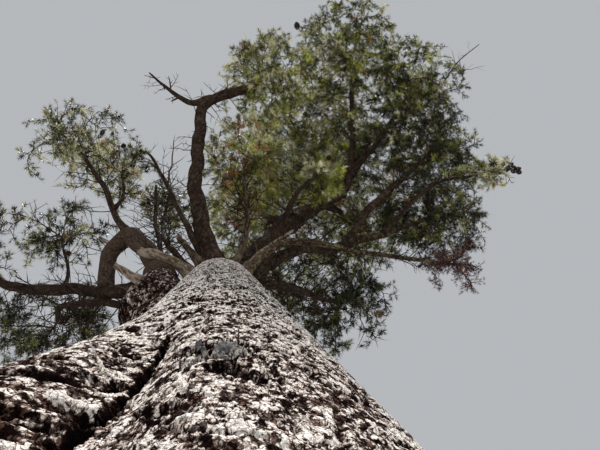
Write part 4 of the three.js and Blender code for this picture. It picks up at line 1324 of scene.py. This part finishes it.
def dress(mass, paths, order, reach, woods, sprays, rng):
    """Side twigs on twigs of one order, and tufts on both, with the kinds of spray dealt out by twig."""
    shares, bare_share, _ = SPRAY_KINDS.get(mass, USUAL)
    count, each, own = len(paths), SIDE_TWIGS[order], OWN_TUFTS[order]
    common = np.where(np.array(shares) < RARE, 0, shares)
    kind = dealt(common / common.sum(), count, rng)
    bare = rng.random(count) < bare_share
    first = 0.45 if order == "twig" else 0.35
    share = first + (1 - first) * (np.arange(own) + 1) / own - rng.uniform(0, 0.05, (count, own))
    grow_tufts(mass, paths, share, kind, bare, woods, sprays, rng)
    k = np.arange(each)
    at = first - 0.1 + (1.02 - first) * (k + rng.uniform(0.2, 0.8, (count, each))) / each
    root, ahead = places_along(paths, at)
    turn = k[None] * GOLDEN_ANGLE + rng.uniform(0, ALMOST_TURN, (count, 1))
    lean = np.radians(rng.uniform(35, 70, (count, each)))
    away = unit(leaning(ahead, lean, turn) + UP * 0.15)
    long = np.minimum(reach, 0.5) * rng.uniform(0.35, 0.8, (count, each, 1))
    end = root + away * long + UP * 0.1 * long
    # one that would leave its space is shorter, or left out
    shorter = root + (end - root) * 0.55
    end = np.where(is_own(mass, root + (end - root) * 0.9, FARTHEST_EDGE)[..., None], end, shorter)
    good = is_own(mass, end, FARTHEST_EDGE)
    other_kind = dealt(shares, count * each, rng).reshape(count, each)
    kind = np.where(rng.random((count, each)) < SIDE_KIND, kind[:, None], other_kind)[good]
    like_twig = rng.random((count, each)) < SIDE_BARE
    bare = np.where(like_twig, bare[:, None], rng.random((count, each)) < bare_share)[good]
    root, end, away = root[good], end[good], away[good]
    length = np.linalg.norm(end - root, axis=1, keepdims=True)
    bends = np.stack([root, root + away * length * 0.5 - UP * 0.05 * length, end], axis=1)
    path = along_bends(bends, len(SIDE_TWIG_RADII))
    slim_twigs(woods, path, SIDE_TWIG_RADII, 3, WOOD_TONES["side"])
    k = np.arange(SIDE_TUFTS)
    share = np.broadcast_to(0.25 + 0.75 * (k + 1) / SIDE_TUFTS, (len(bends), SIDE_TUFTS))
    share = share - rng.uniform(0, 0.08, share.shape) * (k < SIDE_TUFTS - 1)
    grow_tufts(mass, path, share, kind, bare, woods, sprays, rng)
    return path[:, -1]


def grow_mass(mass, bough, tip_radius, seed, woods, sprays, rng):
    """One mass: its stem and twigs as the solids have them, run on, and finer twigs between them."""
    stem, twigs, reach = mass_bends(mass, bough, seed)
    centre = np.array(MASSES[mass][0])
    start = tip_radius * GROWTH["stem_start"]
    stem_path = along_bends(stem[None], 9)
    slim_twigs(woods, stem_path, np.linspace(start, start * 0.35, 9), 8, WOOD_TONES["stem"])
    twigs = twigs[is_own(mass, twigs[:, 2])]
    path = along_bends(twigs, len(TWIG_RADII) - 1)
    # each twig runs on to the edge of its space
    tips, tip_headings = twigs[:, 2], bend_heading(twigs, np.ones(len(twigs)))
    depth = depth_in(mass, tips)
    farther = np.where(depth < 0.45, 0.7, 0.93) / np.maximum(depth, 0.2)
    edge = centre + (tips - centre) * farther[:, None] + tip_headings * 0.1 * reach
    near = tips + tip_headings * 0.12 * reach
    edge = np.where(is_own(mass, edge)[:, None], edge, near)
    path = np.concatenate([path, edge[:, None]], axis=1)
    path[:, 1:-1] += rng.normal(0, 0.012, path[:, 1:-1].shape)
    slim_twigs(woods, path, TWIG_RADII, 4, WOOD_TONES["twig"])
    joints = np.concatenate([stem_path[0, 3:], path[:, 2:-1].reshape(-1, 3)])
    ways = [np.gradient(stem_path[0], axis=0)[3:], np.gradient(path, axis=1)[:, 2:-1].reshape(-1, 3)]
    finer = along_bends(finer_twigs(mass, joints, unit(np.concatenate(ways)), rng), len(FINER_RADII))
    finer[:, 1:-1] += rng.normal(0, 0.008, finer[:, 1:-1].shape)
    slim_twigs(woods, finer, FINER_RADII, 3, WOOD_TONES["finer"])
    ends = dress(mass, path, "twig", reach, woods, sprays, rng)
    dress(mass, finer, "finer", reach, woods, sprays, rng)
    return ends


# Cones
LONE_CONE = np.array([1.6, -4.3, 12.6])  # near the edge of the top mass, upright against the sky
LONE_AXIS = np.array([-0.1, -0.95, 0.3])
CONE_SCALES = 34
# One scale's triangles: its points are the root below, two at the tip's sides, the lip and the root above
SCALE_FACES = np.array([[0, 2, 1], [1, 2, 3], [1, 3, 4], [3, 2, 4], [0, 1, 4], [0, 4, 2]])
# Lengths of cones in metres
CONE_LENGTHS = (0.055, 0.085)
TIP_CONE_LENGTHS = (0.075, 0.1)
LONE_LENGTH = 0.14


def cone_mesh():
    """One hanging cone a metre long: scales in a spiral, each a small wedge with its tip turned out."""
    points, faces = [], []
    for i, share in enumerate((np.arange(CONE_SCALES) + 0.5) / CONE_SCALES):
        turn = i * GOLDEN_ANGLE
        girth = 0.42 * math.sin(math.pi * min(1, share * 0.86 + 0.12)) ** 0.8
        out = np.array([math.cos(turn), math.sin(turn), 0])
        side = np.array([-math.sin(turn), math.cos(turn), 0])
        middle = np.array([0, 0, share])
        wide = 0.17 * (0.5 + girth)
        root = middle + out * girth * 0.35
        tip = middle + out * girth + UP * 0.13
        faces.append(SCALE_FACES + len(points))
        points += [root - UP * 0.12, tip - side * wide, tip + side * wide]
        points += [tip + UP * 0.05 + out * 0.03, root + UP * 0.1]
    return np.array(points), np.concatenate(faces)


def hang_cones(heap, places, axes, lengths):
    points, faces = cone_mesh()
    for place, axis, length in zip(places, axes, lengths):
        side = square_to(axis[None], np.zeros(1))[0]
        other = np.cross(axis, side)
        turned = points[:, :1] * side + points[:, 1:2] * other + points[:, 2:] * axis
        heap.add(place + turned * length, faces)


def grow_tip_cones(woods, cones, rng):
    """The cluster of cones all round the twig that runs on from the right tip."""
    twig = through(CONE_TWIG)
    slim_twigs(woods, twig.at(np.linspace(0, 1, 8))[None], np.linspace(0.011, 0.004, 8), 5, BARE_TONE)
    share = np.linspace(0.2, 1, CONES_AT_TIP)
    forward = unit(np.broadcast_to([1.0, -0.1, 0.0], (CONES_AT_TIP, 3)))
    aside = square_to(forward, np.arange(CONES_AT_TIP) * GOLDEN_ANGLE) * (1.3 - share)[:, None]
    places = twig.at(share) + 0.03 * aside
    hang_cones(cones, places, unit(forward * 0.6 + aside), rng.uniform(*TIP_CONE_LENGTHS, CONES_AT_TIP))


# Each kind of bark on the limbs: dark, middle and pale colours, and the colour of its lichen
BARKS = {
    "limb_bark": ((0.020, 0.012, 0.010), (0.105, 0.072, 0.058), (0.34, 0.265, 0.23), (0.25, 0.25, 0.11)),
    "dead_wood": ((0.024, 0.016, 0.013), (0.11, 0.078, 0.063), (0.32, 0.26, 0.22), (0.33, 0.32, 0.15)),
    "twig_bark": ((0.03, 0.02, 0.016), (0.11, 0.075, 0.058), (0.26, 0.19, 0.155), (0.2, 0.2, 0.1)),
}
# Each kind of needles: the material's name, and its colour at the root, at the tip and in some patches
NEEDLE_COLOURS = {
    # the pale kind is painted glints of sunlight on needles, and the deep kind is a dark green partly
    # painted as shade
    "olive": ("needles_olive", (0.045, 0.050, 0.012), (0.20, 0.215, 0.065), (0.14, 0.15, 0.036)),
    "yellow": ("needles_yellow_green", (0.11, 0.12, 0.014), (0.46, 0.47, 0.115), (0.30, 0.33, 0.055)),
    "shaded_deep": ("needles_shaded_deep_green", (0.0095, 0.012, 0.005), (0.038, 0.043, 0.019), (0.024, 0.027, 0.012)),
    "pale": ("needles_pale", (0.20, 0.20, 0.08), (0.84, 0.80, 0.60), (0.58, 0.58, 0.34)),
    "rust": ("needles_rust", (0.12, 0.055, 0.022), (0.34, 0.17, 0.065), (0.25, 0.13, 0.05)),
    "purple": ("needles_purple_brown", (0.045, 0.019, 0.022), (0.15, 0.066, 0.070), (0.10, 0.043, 0.045)),
}

# Growing it all
bark_material = bark_look()
limb_material, dead_material, twig_material = (limb_look(name, *colours) for name, colours in BARKS.items())

grow_trunk(bark_material)

curves, radii = {}, {}
live, dead, side_stem = Heap("pale", "tone", "lichen"), Heap("pale", "tone", "lichen"), Heap("pale")
for number, (name, spec) in enumerate(BOUGHS.items()):
    curves[name], radii[name] = limb_curve(spec, curves), spec[3]
    heap = side_stem if name == "left_stem" else live
    path = grow_limb(heap, name, spec, curves, radii, 101 + number)
    bare_twigs(dead, path, spec, 501 + number, *TWIGGY.get(name, USUAL_TWIGGY))
for number, (name, spec) in enumerate(DEAD_LIMBS.items()):
    curves[name], radii[name] = limb_curve(spec, curves), spec[3]
    path = grow_limb(dead, name, spec, curves, radii, 201 + number)
    if name in SPURS:
        spurs(dead, name, path, spec, 201 + number)
        bare_twigs(dead, path, spec, 601 + number, *TWIGGY[name])
side_stem.piece("side_stem", bark_material, "limb_bark", ["left_stem"], soft=False)
live.piece("boughs", limb_material, "limb_bark", [name for name in BOUGHS if name != "left_stem"])
dead.piece("dead_limbs", dead_material, "dead_wood", DEAD_LIMBS)

foliage_nodes = [f"foliage_{mass}" for mass in MASSES]
woods = Heap("pale", "tone", "lichen")
sprays = {kind: Heap("along", "tone") for kind in KINDS}
cones = Heap()
rng = np.random.default_rng(7)
carried = [(name, spec) for name, spec in BOUGHS.items() if isinstance(spec[4], str)]
for number, (name, spec) in enumerate(carried):
    ends = grow_mass(spec[4], curves[name], spec[3][1], 301 + number, woods, sprays, rng)
    if spec[4] == "right_tip":
        grow_tip_cones(woods, cones, rng)
    else:
        places = ends[rng.choice(len(ends), 3, replace=False)]
        axes = unit(rng.normal(0, 0.5, places.shape) - UP * 0.7)
        hang_cones(cones, places, axes, rng.uniform(*CONE_LENGTHS, len(places)))
    if spec[4] == "upper_front":
        place = ends[np.argmin(np.linalg.norm(ends - LONE_CONE, axis=1))]
        hang_cones(cones, [place], [LONE_AXIS], [LONE_LENGTH])

woods.pieces("twigs", twig_material, "limb_bark", foliage_nodes)
cones.piece("cones", cone_look(), "needles", foliage_nodes, soft=False)
for kind, heap in sprays.items():
    heap.pieces(f"needles_{kind}", needle_look(*NEEDLE_COLOURS[kind]), "needles", foliage_nodes, soft=False)

# Stage, light and camera
FLOOR_HALF = 90  # metres
corners = [(x * FLOOR_HALF, y * FLOOR_HALF, 0) for x, y in ((-1, -1), (1, -1), (1, 1), (-1, 1))]
floor_mesh = bpy.data.meshes.new("floor")
floor_mesh.from_pydata(corners, [], [(0, 1, 2, 3)])
floor_mesh.materials.append(floor_look())
floor = bpy.data.objects.new("floor", floor_mesh)
bpy.context.scene.collection.objects.link(floor)

world = bpy.data.worlds.new("studio")
world.use_nodes = True
sky = world.node_tree.nodes["Background"].inputs
sky["Color"].default_value = (0.84, 0.87, 0.91, 1)
sky["Strength"].default_value = 0.55
bpy.context.scene.world = world

SUN_FROM = np.array([0.06, -0.36, 0.93])
sun = bpy.data.lights.new("sun", "SUN")
sun.energy = 6.4
sun.angle = math.radians(4)
sun.color = (1.0, 0.96, 0.90)
sun_object = bpy.data.objects.new("sun", sun)
towards = unit(SUN_FROM)
side = unit(np.cross(UP, towards))
sun_axes = np.stack([side, np.cross(towards, side), towards], axis=1)
sun_object.matrix_world = Matrix(sun_axes.tolist()).to_4x4()
bpy.context.scene.collection.objects.link(sun_object)
bpy.context.scene.view_settings.view_transform = "Standard"

# The camera's place, and the directions to its right, up in its picture and behind it
CAMERA_PLACE = (0, -0.87, 1.2)
CAMERA_AXES = [
    (0.98988339, -0.00584702, -0.14176276),
    (0, -0.99915050, 0.04121010),
    (-0.14188329, -0.04079320, -0.98904249),
]
camera = bpy.data.cameras.new("camera")
camera.lens = 36
camera.sensor_width = 36
camera.clip_start, camera.clip_end = 0.02, 200
camera_object = bpy.data.objects.new("camera", camera)
turned = Matrix(CAMERA_AXES).transposed().to_4x4()
camera_object.matrix_world = Matrix.Translation(CAMERA_PLACE) @ turned
bpy.context.scene.collection.objects.link(camera_object)
bpy.context.scene.camera = camera_object

bpy.context.view_layer.update()
